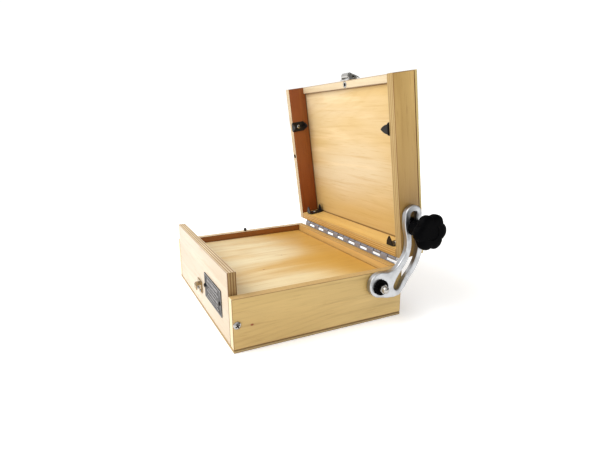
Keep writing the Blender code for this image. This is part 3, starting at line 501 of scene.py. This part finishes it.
def screw_mesh(name, head, material, recess):
    """A domed head on local Z with a cross recess painted dark as shade; head is (radius, height).
    """
    radius, height = head
    shape = bmesh.new()
    profile = [(-0.6, 0.45), (0.0, 0.45), (0.0, 0.97), (0.12, 1.0), (0.35, 0.97), (0.62, 0.80),
               (0.85, 0.52), (0.97, 0.24), (1.0, 0.06)]
    turned_mesh(shape, [(rise * height, share * radius) for rise, share in profile], 36)
    piece = mesh_object(name, shape, (material, recess))
    arm, half = radius * 0.60, radius * 0.16  # half of a bar's length and of its width
    for wide, tall in ((arm, half), (half, arm)):
        bar = bmesh.new()
        size = Matrix.Diagonal((2 * wide, 2 * tall, height, 1))
        bmesh.ops.create_cube(bar, size=1.0, matrix=Matrix.Translation((0, 0, height * 0.9)) @ size)
        # the recess is painted dark, as shade in it
        for face in bar.faces:
            face.material_index = 1
        cutter = mesh_object(name + "_bar", bar, (material, recess))
        cut = piece.modifiers.new("recess", "BOOLEAN")
        cut.operation = "DIFFERENCE"
        cut.object = cutter
        applied(piece)
        bpy.data.objects.remove(cutter, do_unlink=True)
    smooth(piece, 30)
    mesh = piece.data
    bpy.data.objects.remove(piece, do_unlink=True)
    return mesh


def screw(node, mesh, head, axis, side, turn, body, place=AT_REST):
    """A copy of a screw mesh whose top is where the CAD screw's is, at its outer end along axis.

    turn is the angle of its cross, in radians.
    """
    low, high = box_of(node, place)
    outward = Vector([side if i == axis else 0 for i in range(3)])
    spot = (low + high) / 2
    spot[axis] = high[axis] if side > 0 else low[axis]
    piece = bpy.data.objects.new(node + "_head", mesh)
    bpy.context.collection.objects.link(piece)
    piece.matrix_world = facing(outward, spot - outward * head[1]) @ Matrix.Rotation(turn, 4, "Z")
    settle(piece, place, body, node)


# tones are (light, dark, line) in linear colour, and those of edges (pale ply, dark ply, glue)
# dark edges of the boards, and painted shade in creases and in the gap round the palette
DARK_EDGE_AND_SHADE = (0.15, 0.050, 0.012)
KNOT = (0.24, 0.05, 0.015)
CREAM = ((0.60, 0.50, 0.375), (0.57, 0.46, 0.325), (0.46, 0.32, 0.17))
TAN = ((0.62, 0.44, 0.17), (0.54, 0.36, 0.12), (0.36, 0.20, 0.06))
WALL_TAN = ((0.67, 0.475, 0.185), (0.54, 0.36, 0.125), (0.34, 0.19, 0.055))
LID_TAN = ((0.59, 0.39, 0.14), (0.34, 0.19, 0.045), (0.28, 0.14, 0.035))
PALETTE = ((0.75, 0.64, 0.40), (0.56, 0.31, 0.05), (0.46, 0.23, 0.04))
GOLD = ((0.60, 0.37, 0.12), (0.52, 0.28, 0.065), (0.36, 0.165, 0.035))
RAIL = ((0.68, 0.45, 0.15), (0.60, 0.36, 0.09), (0.42, 0.20, 0.045))
PANEL = ((0.69, 0.54, 0.32), (0.62, 0.41, 0.14), (0.50, 0.29, 0.08))
# painted shade of the left walls' inner faces: in the base, and in the lid
BASE_INNER_SHADE = ((0.30, 0.105, 0.018), (0.25, 0.075, 0.011), (0.13, 0.035, 0.006))
LID_INNER_SHADE = ((0.31, 0.105, 0.018), (0.275, 0.060, 0.010), (0.15, 0.036, 0.007))
BATTEN = ((0.68, 0.57, 0.39), (0.63, 0.49, 0.30), (0.50, 0.34, 0.15))
PALE_EDGE = ((0.80, 0.67, 0.44), (0.26, 0.13, 0.055), (0.34, 0.19, 0.08))
TAN_EDGE = ((0.60, 0.42, 0.18), (0.42, 0.25, 0.09), (0.28, 0.13, 0.035))
PANEL_EDGE = ((0.62, 0.49, 0.21), (0.52, 0.38, 0.14), (0.42, 0.28, 0.09))
LID_EDGE = ((0.47, 0.34, 0.15), (0.33, 0.20, 0.075), (0.25, 0.12, 0.035))
GOLD_EDGE = ((0.62, 0.40, 0.13), (0.41, 0.20, 0.05), (0.22, 0.08, 0.016))
CREAM_EDGE = ((0.80, 0.70, 0.50), (0.66, 0.52, 0.30), (0.60, 0.44, 0.22))
# the bottom sheet's edge, its plies darkened: partly their own tone, partly painted shade under the
# box
SHEET_EDGE_AND_SHADE = ((0.50, 0.37, 0.17), (0.27, 0.18, 0.08), (0.20, 0.125, 0.055))
DARK_END = ((0.46, 0.31, 0.13), (0.175, 0.082, 0.024), (0.13, 0.055, 0.014))


def make_board(name, node, body, thin, grain, tone, seed, edge=PALE_EDGE, end=DARK_END,
               slot="birch_ply", place=AT_REST, plies=7, round_by=0.7 * MM, hole=None, inside=None,
               **veneer_marks):
    """A board in place of a CAD node, with the same box; inside is the finish of its hole."""
    box = box_of(node, place)
    finishes = [
        veneer(name + " veneer", box, grain, tone, seed, **veneer_marks),
        ply_edge(name + " sides", box, thin, edge, seed, plies),
        ply_edge(name + " ends", box, thin, end, seed, plies, end=True),
    ]
    if hole:
        finishes.append(inside)
    board(name, node, body, thin, grain, finishes, place, round_by, hole)


def base_boards():
    """The base's boards and the palette. Numbers for rich and knots are in mm."""
    make_board("right_wall", "base_right_wall", "base", X, Y, WALL_TAN, 1.0, TAN_EDGE, CREAM_EDGE,
               figure=0.17, rich=((Y, 40.0, -95.0, 0.55),), knots=(((115.0, -76.0, 25.7), 1.4),))
    # its inner face is painted shade
    make_board("left_wall", "base_left_wall", "base", X, Y, WALL_TAN, 2.0, end=CREAM_EDGE,
               inner=(*LEFT_INNER_FACE, BASE_INNER_SHADE))
    make_board("rear_wall", "base_rear_wall", "base", Y, X, GOLD, 3.0, GOLD_EDGE)
    make_board("front_panel", "base_front_panel", "base", Y, X, CREAM, 4.0, figure=0.06)
    # its edge is darkened as painted shade under the box
    make_board("bottom_panel", "base_bottom_panel", "base", Z, X, TAN, 5.0, SHEET_EDGE_AND_SHADE, SHEET_EDGE_AND_SHADE,
               slot="birch_sheet", plies=3, round_by=0.6 * MM)
    for side, seed in (("left", 6.0), ("right", 7.0)):
        make_board(f"cleat_{side}", f"palette_cleat_{side}", "base", X, Y, TAN, seed,
                   round_by=0.4 * MM)
    # its wide rim is painted shade in the gap round it, and its fades are painted shade on its far
    # side
    make_board("palette_board", "palette", "palette", Z, Y, PALETTE, 8.0, TAN_EDGE, TAN_EDGE,
               slot="palette_ply", plies=5, round_by=0.5 * MM, figure=0.12, rim=3.2,
               rich=((Y, -5.0, 65.0, 0.92), (X, 40.0, 115.0, 0.25)),
               knots=(((-5.0, 10.0, 46.0), 0.9), ((34.0, -30.0, 46.0), 1.0)))


def lid_boards(hole_shade):
    """The lid's boards, shut; hole_shade is the near-black inside their holes, painted shade."""
    low, high = box_of("lid_batten", OPENED)
    insert_hole = ((0, (low.y + high.y) / 2, low.z), DOWN, 3.8 * MM, 2 * MM)
    low, high = box_of("locating_pin")
    rim = box_of("lid_left_wall", OPENED)[0].z
    pin_hole = (((low.x + high.x) / 2, (low.y + high.y) / 2, rim), DOWN, 2.8 * MM, 5 * MM)
    # its inner face is painted shade
    make_board("lid_side_left", "lid_left_wall", "lid", X, Y, WALL_TAN, 9.0, place=OPENED,
               hole=pin_hole, inside=hole_shade, rich=((Y, -60.0, 60.0, 0.8),),
               inner=(*LEFT_INNER_FACE, LID_INNER_SHADE))
    make_board("lid_side_right", "lid_right_wall", "lid", X, Y, LID_TAN, 10.0, LID_EDGE,
               place=OPENED, rich=((Y, -75.0, 55.0, 0.9),))
    make_board("lid_rail", "lid_hinge_rail", "lid", Y, X, RAIL, 11.0, GOLD_EDGE, place=OPENED)
    make_board("lid_front_batten", "lid_batten", "lid", Z, X, BATTEN, 12.0, CREAM_EDGE, CREAM_EDGE,
               place=OPENED, plies=3, hole=insert_hole, inside=hole_shade, figure=0.05)
    # painted shade: the fades across the panel, and the line round its walls
    make_board("lid_panel", "lid_back_panel", "lid", Z, X, PANEL, 13.0, PANEL_EDGE, PANEL_EDGE,
               slot="birch_sheet", place=OPENED, plies=3, round_by=0.5 * MM, figure=0.12,
               rich=((Y, 10.0, 100.0, 0.8), (X, 20.0, 115.0, 0.7)), crease=LID_WELL)


def knob(plastic):
    """Six round lobes on a plain hub, with soft rims and a shallow dish in front."""
    low, high = box_of("clamp_knob")
    axis = Vector(JOINTS["knob_spin"]["pos_m"])
    length = high.x - low.x
    thick = 10.4 * MM
    radius = 18.7 * MM
    hub = 8.5 * MM
    start = length - thick
    shape = bmesh.new()
    turned_mesh(shape, [(0, hub * 0.92), (0.6 * MM, hub), (start - 3 * MM, hub),
                        (start - MM, hub * 1.12), (start + 2 * MM, hub * 1.4)], 48)

    def lobed(angle, distance):
        """Six lobes at the rim, that fade out towards the hub."""
        share = min(1.0, max(0.0, (distance / radius - 0.40) / 0.35))
        return 1 - 0.15 * share * (1 - abs(math.cos(3 * angle)) ** 0.88)

    rims = [(0.0, 0.60), (0.015, 0.74), (0.06, 0.86), (0.14, 0.945), (0.26, 0.99), (0.40, 1.0),
            (0.66, 1.0), (0.78, 0.985), (0.88, 0.93), (0.95, 0.845), (0.99, 0.74), (1.0, 0.62),
            (0.995, 0.40), (0.95, 0.385), (0.945, 0.34)]
    turned_mesh(shape, [(start + along * thick, share * radius) for along, share in rims], 144,
                wave=lobed)
    piece = mesh_object("lobed_knob", shape, (plastic,))
    smooth(piece, 40)
    piece.matrix_world = facing(OUTWARD, (low.x, axis.y, axis.z))
    settle(piece, AT_REST, "knob", "clamp_knob")


def knuckle_start(cell):
    """Where a cell of the hinge starts in X; the middle of the hinge is at 0."""
    return (cell - KNUCKLES / 2) * KNUCKLE_PITCH


def hinge_leaf(side, first, rise, steel, place):
    """A notched leaf, which rises or falls from the pin.

    The hinge is a row of cells, one for each knuckle: this leaf has every second, from first on.
    """
    low, high = box_of(f"hinge_{side}_leaf", place)
    notch = 4.3 * MM
    leaf = 1.2 * MM
    far = low.z if rise < 0 else high.z
    outline = [(low.x, far), (high.x, far)]
    for cell in reversed(range(KNUCKLES)):
        own = cell % 2 == first
        level = HINGE.z if own else HINGE.z + rise * notch
        inset = KNUCKLE_GAP if own else -KNUCKLE_GAP
        right = min(high.x, knuckle_start(cell + 1) - inset)
        left = max(low.x, knuckle_start(cell) + inset)
        outline += [(right, level), (left, level)]
    shape = bmesh.new()
    near = [shape.verts.new((x, low.y, z)) for x, z in outline]
    out = [shape.verts.new((x, low.y + leaf, z)) for x, z in outline]
    shape.faces.new(near)
    shape.faces.new(reversed(out))
    for i in range(len(outline)):
        j = (i + 1) % len(outline)
        shape.faces.new((near[j], near[i], out[i], out[j]))
    plate = mesh_object(f"{side}_leaf", shape, (steel,))
    rounding = plate.modifiers.new("rounding", "BEVEL")
    rounding.width = 0.25 * MM
    rounding.segments = 2
    smooth(plate, 40)
    settle(plate, place, side, f"hinge_{side}_leaf")


def hinge_knuckles(side, first, steel, place):
    """The leaf's own knuckles, one in front of each tongue."""
    barrel = 2.85 * MM
    chamfer = 0.25 * MM
    length = KNUCKLE_PITCH - 2 * KNUCKLE_GAP
    profile = [(0, barrel * 0.55), (0, barrel * 0.92), (chamfer, barrel),
               (length - chamfer, barrel), (length, barrel * 0.92), (length, barrel * 0.55)]
    shape = bmesh.new()
    for cell in range(first, KNUCKLES, 2):
        knuckle = bmesh.new()
        turned_mesh(knuckle, profile, 32)
        start = (knuckle_start(cell) + KNUCKLE_GAP, HINGE.y, HINGE.z)
        bmesh.ops.transform(knuckle, matrix=facing(OUTWARD, start), verts=knuckle.verts)
        mesh = bpy.data.meshes.new("knuckle")
        knuckle.to_mesh(mesh)
        knuckle.free()
        shape.from_mesh(mesh)
        bpy.data.meshes.remove(mesh)
    knuckles = mesh_object(f"{side}_knuckles", shape, (steel,))
    smooth(knuckles, 30)
    settle(knuckles, place, side, f"hinge_{side}_leaf")


def washers(plastic):
    """Flat washers with soft lips, on both sides of the arm and on the clamp stud."""
    for name, node, body in (("outer_washer", "arm_pivot_washer", "base"),
                             ("inner_washer", "arm_wall_washer", "base"),
                             ("stay_washer", "clamp_washer", "lid")):
        low, high = box_of(node)
        middle = (low + high) / 2
        thick, radius = high.x - low.x, (high.z - low.z) / 2
        lip = min(thick * 0.3, 0.6 * MM)
        shape = bmesh.new()
        profile = [(0, radius - lip), (lip * 0.3, radius - lip * 0.3), (lip, radius),
                   (thick - lip, radius), (thick - lip * 0.3, radius - lip * 0.3),
                   (thick, radius - lip), (thick, radius * 0.55), (thick - lip * 0.6, radius * 0.5)]
        turned_mesh(shape, profile, 48)
        piece = mesh_object(name, shape, (plastic,))
        smooth(piece, 50)
        piece.matrix_world = facing(OUTWARD, (low.x, middle.y, middle.z))
        settle(piece, AT_REST, body, node)


def cap_nut(nickel):
    """A six-sided nut under a round dome."""
    low, high = box_of("arm_pivot_cap_nut")
    middle = (low + high) / 2
    length = high.x - low.x
    corner = max(high.z - low.z, high.y - low.y) / 2
    shape = bmesh.new()
    turned_mesh(shape, [(0, corner * 0.92), (length * 0.05, corner), (length * 0.43, corner),
                        (length * 0.5, corner * 0.88)], 6)
    foot = length * 0.62
    rise = length - foot
    girth = corner * 0.74
    dome = [(length * 0.4, girth), (foot, girth)]
    dome += [(foot + rise * math.sin(a), girth * math.cos(a))
             for a in (math.radians(degrees) for degrees in range(8, 88, 8))]
    turned_mesh(shape, dome, 36)
    piece = mesh_object("cap_nut", shape, (nickel,))
    smooth(piece, 30)
    spot = (low.x, middle.y, middle.z)
    piece.matrix_world = facing(OUTWARD, spot) @ Matrix.Rotation(0.2, 4, "Z")
    settle(piece, AT_REST, "base", "arm_pivot_cap_nut")


def prism(shape, outline, start, end, place=AT_REST, finish=0):
    """Extrude an outline of (x, y) points along local Z, then put it in place."""
    near = [shape.verts.new(place @ Vector((x, y, start))) for x, y in outline]
    far = [shape.verts.new(place @ Vector((x, y, end))) for x, y in outline]
    sides = [shape.faces.new(near), shape.faces.new(reversed(far))]
    for i in range(len(outline)):
        j = (i + 1) % len(outline)
        sides.append(shape.faces.new((near[j], near[i], far[i], far[j])))
    for face in sides:
        face.material_index = finish


def rounded(width, height, radius, steps=5):
    """A rectangle with round corners about the origin."""
    points = []
    for quarter, (sx, sy) in enumerate(((1, 1), (-1, 1), (-1, -1), (1, -1))):
        for step in range(steps + 1):
            angle = math.pi / 2 * (quarter + step / steps)
            points.append((sx * (width / 2 - radius) + radius * math.cos(angle),
                           sy * (height / 2 - radius) + radius * math.sin(angle)))
    return points


def moved(outline, x, y):
    """The outline, shifted by x and y."""
    return [(x + a, y + b) for a, b in outline]


def rounded_edges(piece, width, segments=2):
    """Soften a piece's sharp edges, but not the seams of its curves."""
    rounding = piece.modifiers.new("rounding", "BEVEL")
    rounding.width = width
    rounding.segments = segments
    rounding.limit_method = "ANGLE"
    rounding.angle_limit = math.radians(40)
    smooth(piece, 40)


def name_plate(plate, raised):
    """A plain plate with a raised border and rows of bars in place of any wording."""
    low, high = box_of("name_plate")
    middle = (low + high) / 2
    wide, tall, thick = high.x - low.x, high.z - low.z, high.y - low.y
    margin = 1.1 * MM
    line = 0.7 * MM
    ground, bar_top = thick * 0.62, thick * 0.9
    shape = bmesh.new()
    prism(shape, rounded(wide, tall, 1.5 * MM), 0, ground)
    for side in (1, -1):
        for x, y, w, h in ((0, side * (tall / 2 - margin), wide - 2 * margin, line),
                           (side * (wide / 2 - margin), 0, line, tall - 2 * margin)):
            prism(shape, moved(rounded(w, h, 0.3 * MM, 2), x, y), 0, thick, finish=1)
    for level, length, height in PLATE_ROWS:
        count = int(length / PLATE_BAR_PITCH)
        pitch = length / count
        for i in range(count):
            bar = rounded(pitch * 0.5 * MM, height * MM, 0.25 * MM, 2)
            x = (i - (count - 1) / 2) * pitch
            prism(shape, moved(bar, x * MM, level * MM), 0, bar_top, finish=1)
    piece = mesh_object("blank_plate", shape, (plate, raised))
    rounded_edges(piece, 0.12 * MM, 1)
    piece.matrix_world = facing((0, -1, 0), (middle.x, high.y, middle.z))
    settle(piece, AT_REST, "base", "name_plate")


def clip(corner, axis, side, black):
    """A turning clip: a plate on the wall with a leaf-shaped ear at each end."""
    node = f"panel_clip_{corner}"
    low, high = box_of(node, OPENED)
    spot = (low + high) / 2
    spot[axis] = low[axis] if side > 0 else high[axis]
    inward = Vector([side if i == axis else 0 for i in range(3)])
    along = Vector(UP).cross(inward)
    upright = Matrix((along, inward, along.cross(inward))).transposed().to_4x4()
    reach = high[axis] - low[axis]
    deep = high.z - low.z
    flat = Matrix((Vector(UP), along, inward)).transposed().to_4x4()
    thick = 1.2 * MM
    plate_wide = 13 * MM
    ear_foot = 4.8 * MM  # half of the ear's width where it meets the plate
    shape = bmesh.new()
    prism(shape, rounded(deep - 0.2 * MM, plate_wide, 2.5 * MM), 0, thick, flat)
    steps = 14
    leaf = []
    for i in range(-steps, steps + 1):
        share = 1 - abs(i) / steps
        half = ear_foot * (1 - share ** 1.45) ** 0.78 * (1 + 0.06 * math.sin(math.pi * share))
        leaf.append((math.copysign(half, i), thick * 0.4 + (reach - thick * 0.4) * share))
    for level in (-deep / 2, deep / 2 - thick):
        prism(shape, leaf, level, level + thick, upright)
    piece = mesh_object(f"clip_{corner}", shape, (black,))
    rounded_edges(piece, 0.25 * MM)
    piece.matrix_world = Matrix.Translation(spot)
    settle(piece, OPENED, f"clip_{corner}", node)


def lever(nickel):
    """A bowed lever with a curled lip, on a barrel, with the wire's barrel in its middle."""
    pivot_y, pivot_z = -97.2 * MM, 80.2 * MM
    half = 6.6 * MM
    length = 14.6 * MM
    thick = 1.1 * MM
    tilt = math.radians(20)
    steps = 14
    outer = []
    for share in (i / steps for i in range(steps + 1)):
        lean = 1.2 * MM * share + 0.8 * MM * share ** 6  # the power gives the lip its curl
        outer.append((lean - 3.0 * MM, share * length * 0.97))
    inner = [(y + thick, z) for y, z in reversed(outer)]
    turned = Matrix(((0, 0, 1), (1, 0, 0), (0, 1, 0))).to_4x4()
    shape = bmesh.new()
    prism(shape, outer + inner, -half, half, turned)
    for y, z, radius, reach in ((0, 0, 3.2 * MM, half),
                                (1.2 * MM, 9 * MM, 2.4 * MM, half - 0.3 * MM)):
        ring = [(y + radius * math.cos(a), z + radius * math.sin(a))
                for a in (2 * math.pi * i / 40 for i in range(40))]
        prism(shape, ring, -reach, reach, turned)
    piece = mesh_object("lever_shell", shape, (nickel,))
    rounded_edges(piece, 0.2 * MM)
    piece.matrix_world = Matrix.Translation((0, pivot_y, pivot_z)) @ Matrix.Rotation(-tilt, 4, "X")
    settle(piece, OPENED, "latch_lever", "latch_lever")


def fittings(nickel, warm_nickel, zinc, black, dark_plate, raised, aluminium):
    """The stay's arm, the hinge, the draw latch, the name plate and the panel clips."""
    refined("stay_arm", "slotted_arm", "arm", aluminium, 0.35 * MM)
    for side, first, rise, place in (("base", 0, -1, AT_REST), ("lid", 1, 1, OPENED)):
        hinge_leaf(side, first, rise, zinc, place)
        hinge_knuckles(side, first, zinc, place)
    refined("latch_plate", "latch_base", "lid", nickel, 0.2 * MM, OPENED)
    refined("latch_strike", "latch_catch", "base", warm_nickel, 0.25 * MM)
    lever(nickel)
    name_plate(dark_plate, raised)
    for corner, axis, side in CLIP_CORNERS:
        clip(corner, axis, side, black)


def plain_nodes(nickel, black):
    """CAD pieces whose shape is right keep it, and take a better material."""
    finishes = {node: nickel for node in ("hinge_pin", "latch_lever_pin", "latch_bail",
                                          "arm_pivot_stud", "clamp_stud", "batten_insert")}
    finishes["locating_pin"] = black
    for node, finish in finishes.items():
        materials = frame["nodes"][node].data.materials
        materials.clear()
        materials.append(finish)


def all_screws(nickel, zinc, black):
    """A head of the right kind on each CAD screw."""
    mesh = screw_mesh("corner_screw", CORNER_HEAD, nickel, black)
    for name, side in (("left", -1), ("right", 1)):
        screw(f"front_corner_screw_{name}", mesh, CORNER_HEAD, X, side, 0.5, "base")
    mesh = screw_mesh("leaf_screw", LEAF_HEAD, zinc, black)
    for i in range(1, 5):
        screw(f"hinge_base_screw_{i}", mesh, LEAF_HEAD, Y, 1, i * 0.7, "base")
        screw(f"hinge_lid_screw_{i}", mesh, LEAF_HEAD, Y, 1, i * 1.1, "lid", OPENED)
    plate_mesh = screw_mesh("plate_screw", PLATE_HEAD, black, black)
    catch_mesh = screw_mesh("catch_screw", CATCH_HEAD, nickel, black)
    for i in (1, 2):
        screw(f"name_plate_screw_{i}", plate_mesh, PLATE_HEAD, Y, -1, i, "base")
        screw(f"latch_catch_screw_{i}", catch_mesh, CATCH_HEAD, Y, -1, i, "base")
    mesh = screw_mesh("clip_screw", CLIP_HEAD, nickel, black)
    for corner, axis, side in CLIP_CORNERS:
        screw(f"panel_clip_screw_{corner}", mesh, CLIP_HEAD, axis, side, 0.4, "lid",
              OPENED)


def pale_floor():
    """A wide floor, a little brighter than the light on it would make it."""
    reach = 12.0
    mesh = bpy.data.meshes.new("floor")
    corners = [(-reach, -reach, 0), (reach, -reach, 0), (reach, reach, 0), (-reach, reach, 0)]
    mesh.from_pydata(corners, [], [(0, 1, 2, 3)])
    g = Graph("pale floor")
    grain = g.noise(g.mapped(), 0.02, 2.0)
    g.set({"Emission Color": (1.0, 1.0, 1.0, 1.0), "Emission Strength": 0.28})
    tone = g.mix(grain, (0.94, 0.935, 0.925), (0.96, 0.955, 0.945))
    mesh.materials.append(g.paint(tone, 0.7))
    floor = bpy.data.objects.new("floor", mesh)
    bpy.context.collection.objects.link(floor)


def sky():
    """A white sky that is brightest towards the key light, and even where the camera sees it."""
    world = bpy.data.worlds.new("studio")
    bpy.context.scene.world = world
    world.use_nodes = True
    tree = world.node_tree
    background = tree.nodes["Background"]
    background.inputs["Color"].default_value = (1.0, 1.0, 1.0, 1.0)
    direction = tree.nodes.new("ShaderNodeTexCoord").outputs["Generated"]
    towards_key = tree.nodes.new("ShaderNodeVectorMath")
    towards_key.operation = "DOT_PRODUCT"
    towards_key.inputs[1].default_value = KEY_FROM.normalized()
    tree.links.new(direction, towards_key.inputs[0])
    bright = tree.nodes.new("ShaderNodeMapRange")
    bright.interpolation_type = "SMOOTHSTEP"
    tree.links.new(towards_key.outputs["Value"], bright.inputs["Value"])
    for name, value in (("From Min", -0.6), ("From Max", 0.9), ("To Min", 0.14), ("To Max", 1.1)):
        bright.inputs[name].default_value = value
    seen = tree.nodes.new("ShaderNodeMix")  # sockets 0, 2 and 3 are its factor and two numbers
    tree.links.new(tree.nodes.new("ShaderNodeLightPath").outputs["Is Camera Ray"], seen.inputs[0])
    tree.links.new(bright.outputs[0], seen.inputs[2])
    seen.inputs[3].default_value = 1.05
    tree.links.new(seen.outputs[0], background.inputs["Strength"])


def key_light():
    """One soft sun from the front left."""
    lamp = bpy.data.lights.new("key", "SUN")
    lamp.energy = 1.75
    lamp.angle = math.radians(35)
    light = bpy.data.objects.new("key", lamp)
    bpy.context.collection.objects.link(light)
    light.rotation_euler = KEY_FROM.to_track_quat("Z", "Y").to_euler()


def camera():
    """A little above the box's right front corner, looking back across it."""
    spot = Vector((0.4579, -0.2010, 0.2107))
    yaw, pitch, roll = (math.radians(a) for a in (-67.76, 14.36, -1.74))
    level = math.cos(pitch)
    ahead = Vector((math.sin(yaw) * level, math.cos(yaw) * level, -math.sin(pitch)))
    right = Vector((math.cos(yaw), -math.sin(yaw), 0))
    up = right.cross(ahead)
    lean = right * math.cos(roll) + up * math.sin(roll)
    upright = up * math.cos(roll) - right * math.sin(roll)
    data = bpy.data.cameras.new("camera")
    data.lens = 25.83
    data.shift_x = 0.0593
    data.shift_y = 0.0058
    data.clip_start = 0.01
    view = bpy.data.objects.new("camera", data)
    bpy.context.collection.objects.link(view)
    turned = Matrix((lean, upright, -ahead)).transposed().to_4x4()
    view.matrix_world = Matrix.Translation(spot) @ turned
    bpy.context.scene.camera = view


nickel = brushed("nickel plate", (0.47, 0.455, 0.43), roughness=0.16, seed=1.0)
warm_nickel = brushed("warm nickel", (0.34, 0.23, 0.10), roughness=0.20, seed=8.0,
                      worn=(0.08, 0.05, 0.025))
zinc = brushed("zinc plate", (0.33, 0.33, 0.37), roughness=0.34, seed=6.0, metallic=0.5)
# its side faces are darkened as painted shade in the slot
satin = brushed("satin aluminium", (0.54, 0.55, 0.565), roughness=0.36, seed=2.0, grain=1.6,
                depth=0.04 * MM, cut=(X, (0.38, 0.38, 0.385)))
blackened = brushed("blackened steel", (0.020, 0.017, 0.015), roughness=0.36, seed=3.0,
                    metallic=0.4, worn=(0.055, 0.042, 0.030), specular=0.22)
etched = brushed("etched plate", (0.020, 0.019, 0.020), roughness=0.45, seed=4.0, metallic=0.2,
                 worn=(0.10, 0.09, 0.09), specular=0.3)
raised = brushed("raised plate", (0.34, 0.33, 0.33), roughness=0.38, seed=7.0, metallic=0.5,
                 worn=(0.48, 0.46, 0.45))
# painted shade inside the drilled holes
hole_shade = moulded("dark hole", (0.004, 0.003, 0.003), roughness=0.8, seed=9.0)
black_plastic = moulded("black plastic", (0.0009, 0.0009, 0.0012), roughness=0.6, seed=5.0)

base_boards()
lid_boards(hole_shade)
fittings(nickel, warm_nickel, zinc, blackened, etched, raised, satin)
knob(black_plastic)
washers(black_plastic)
cap_nut(nickel)
all_screws(nickel, zinc, blackened)
plain_nodes(nickel, blackened)
pale_floor()
sky()
key_light()
camera()
bpy.context.scene.view_settings.view_transform = "Standard"
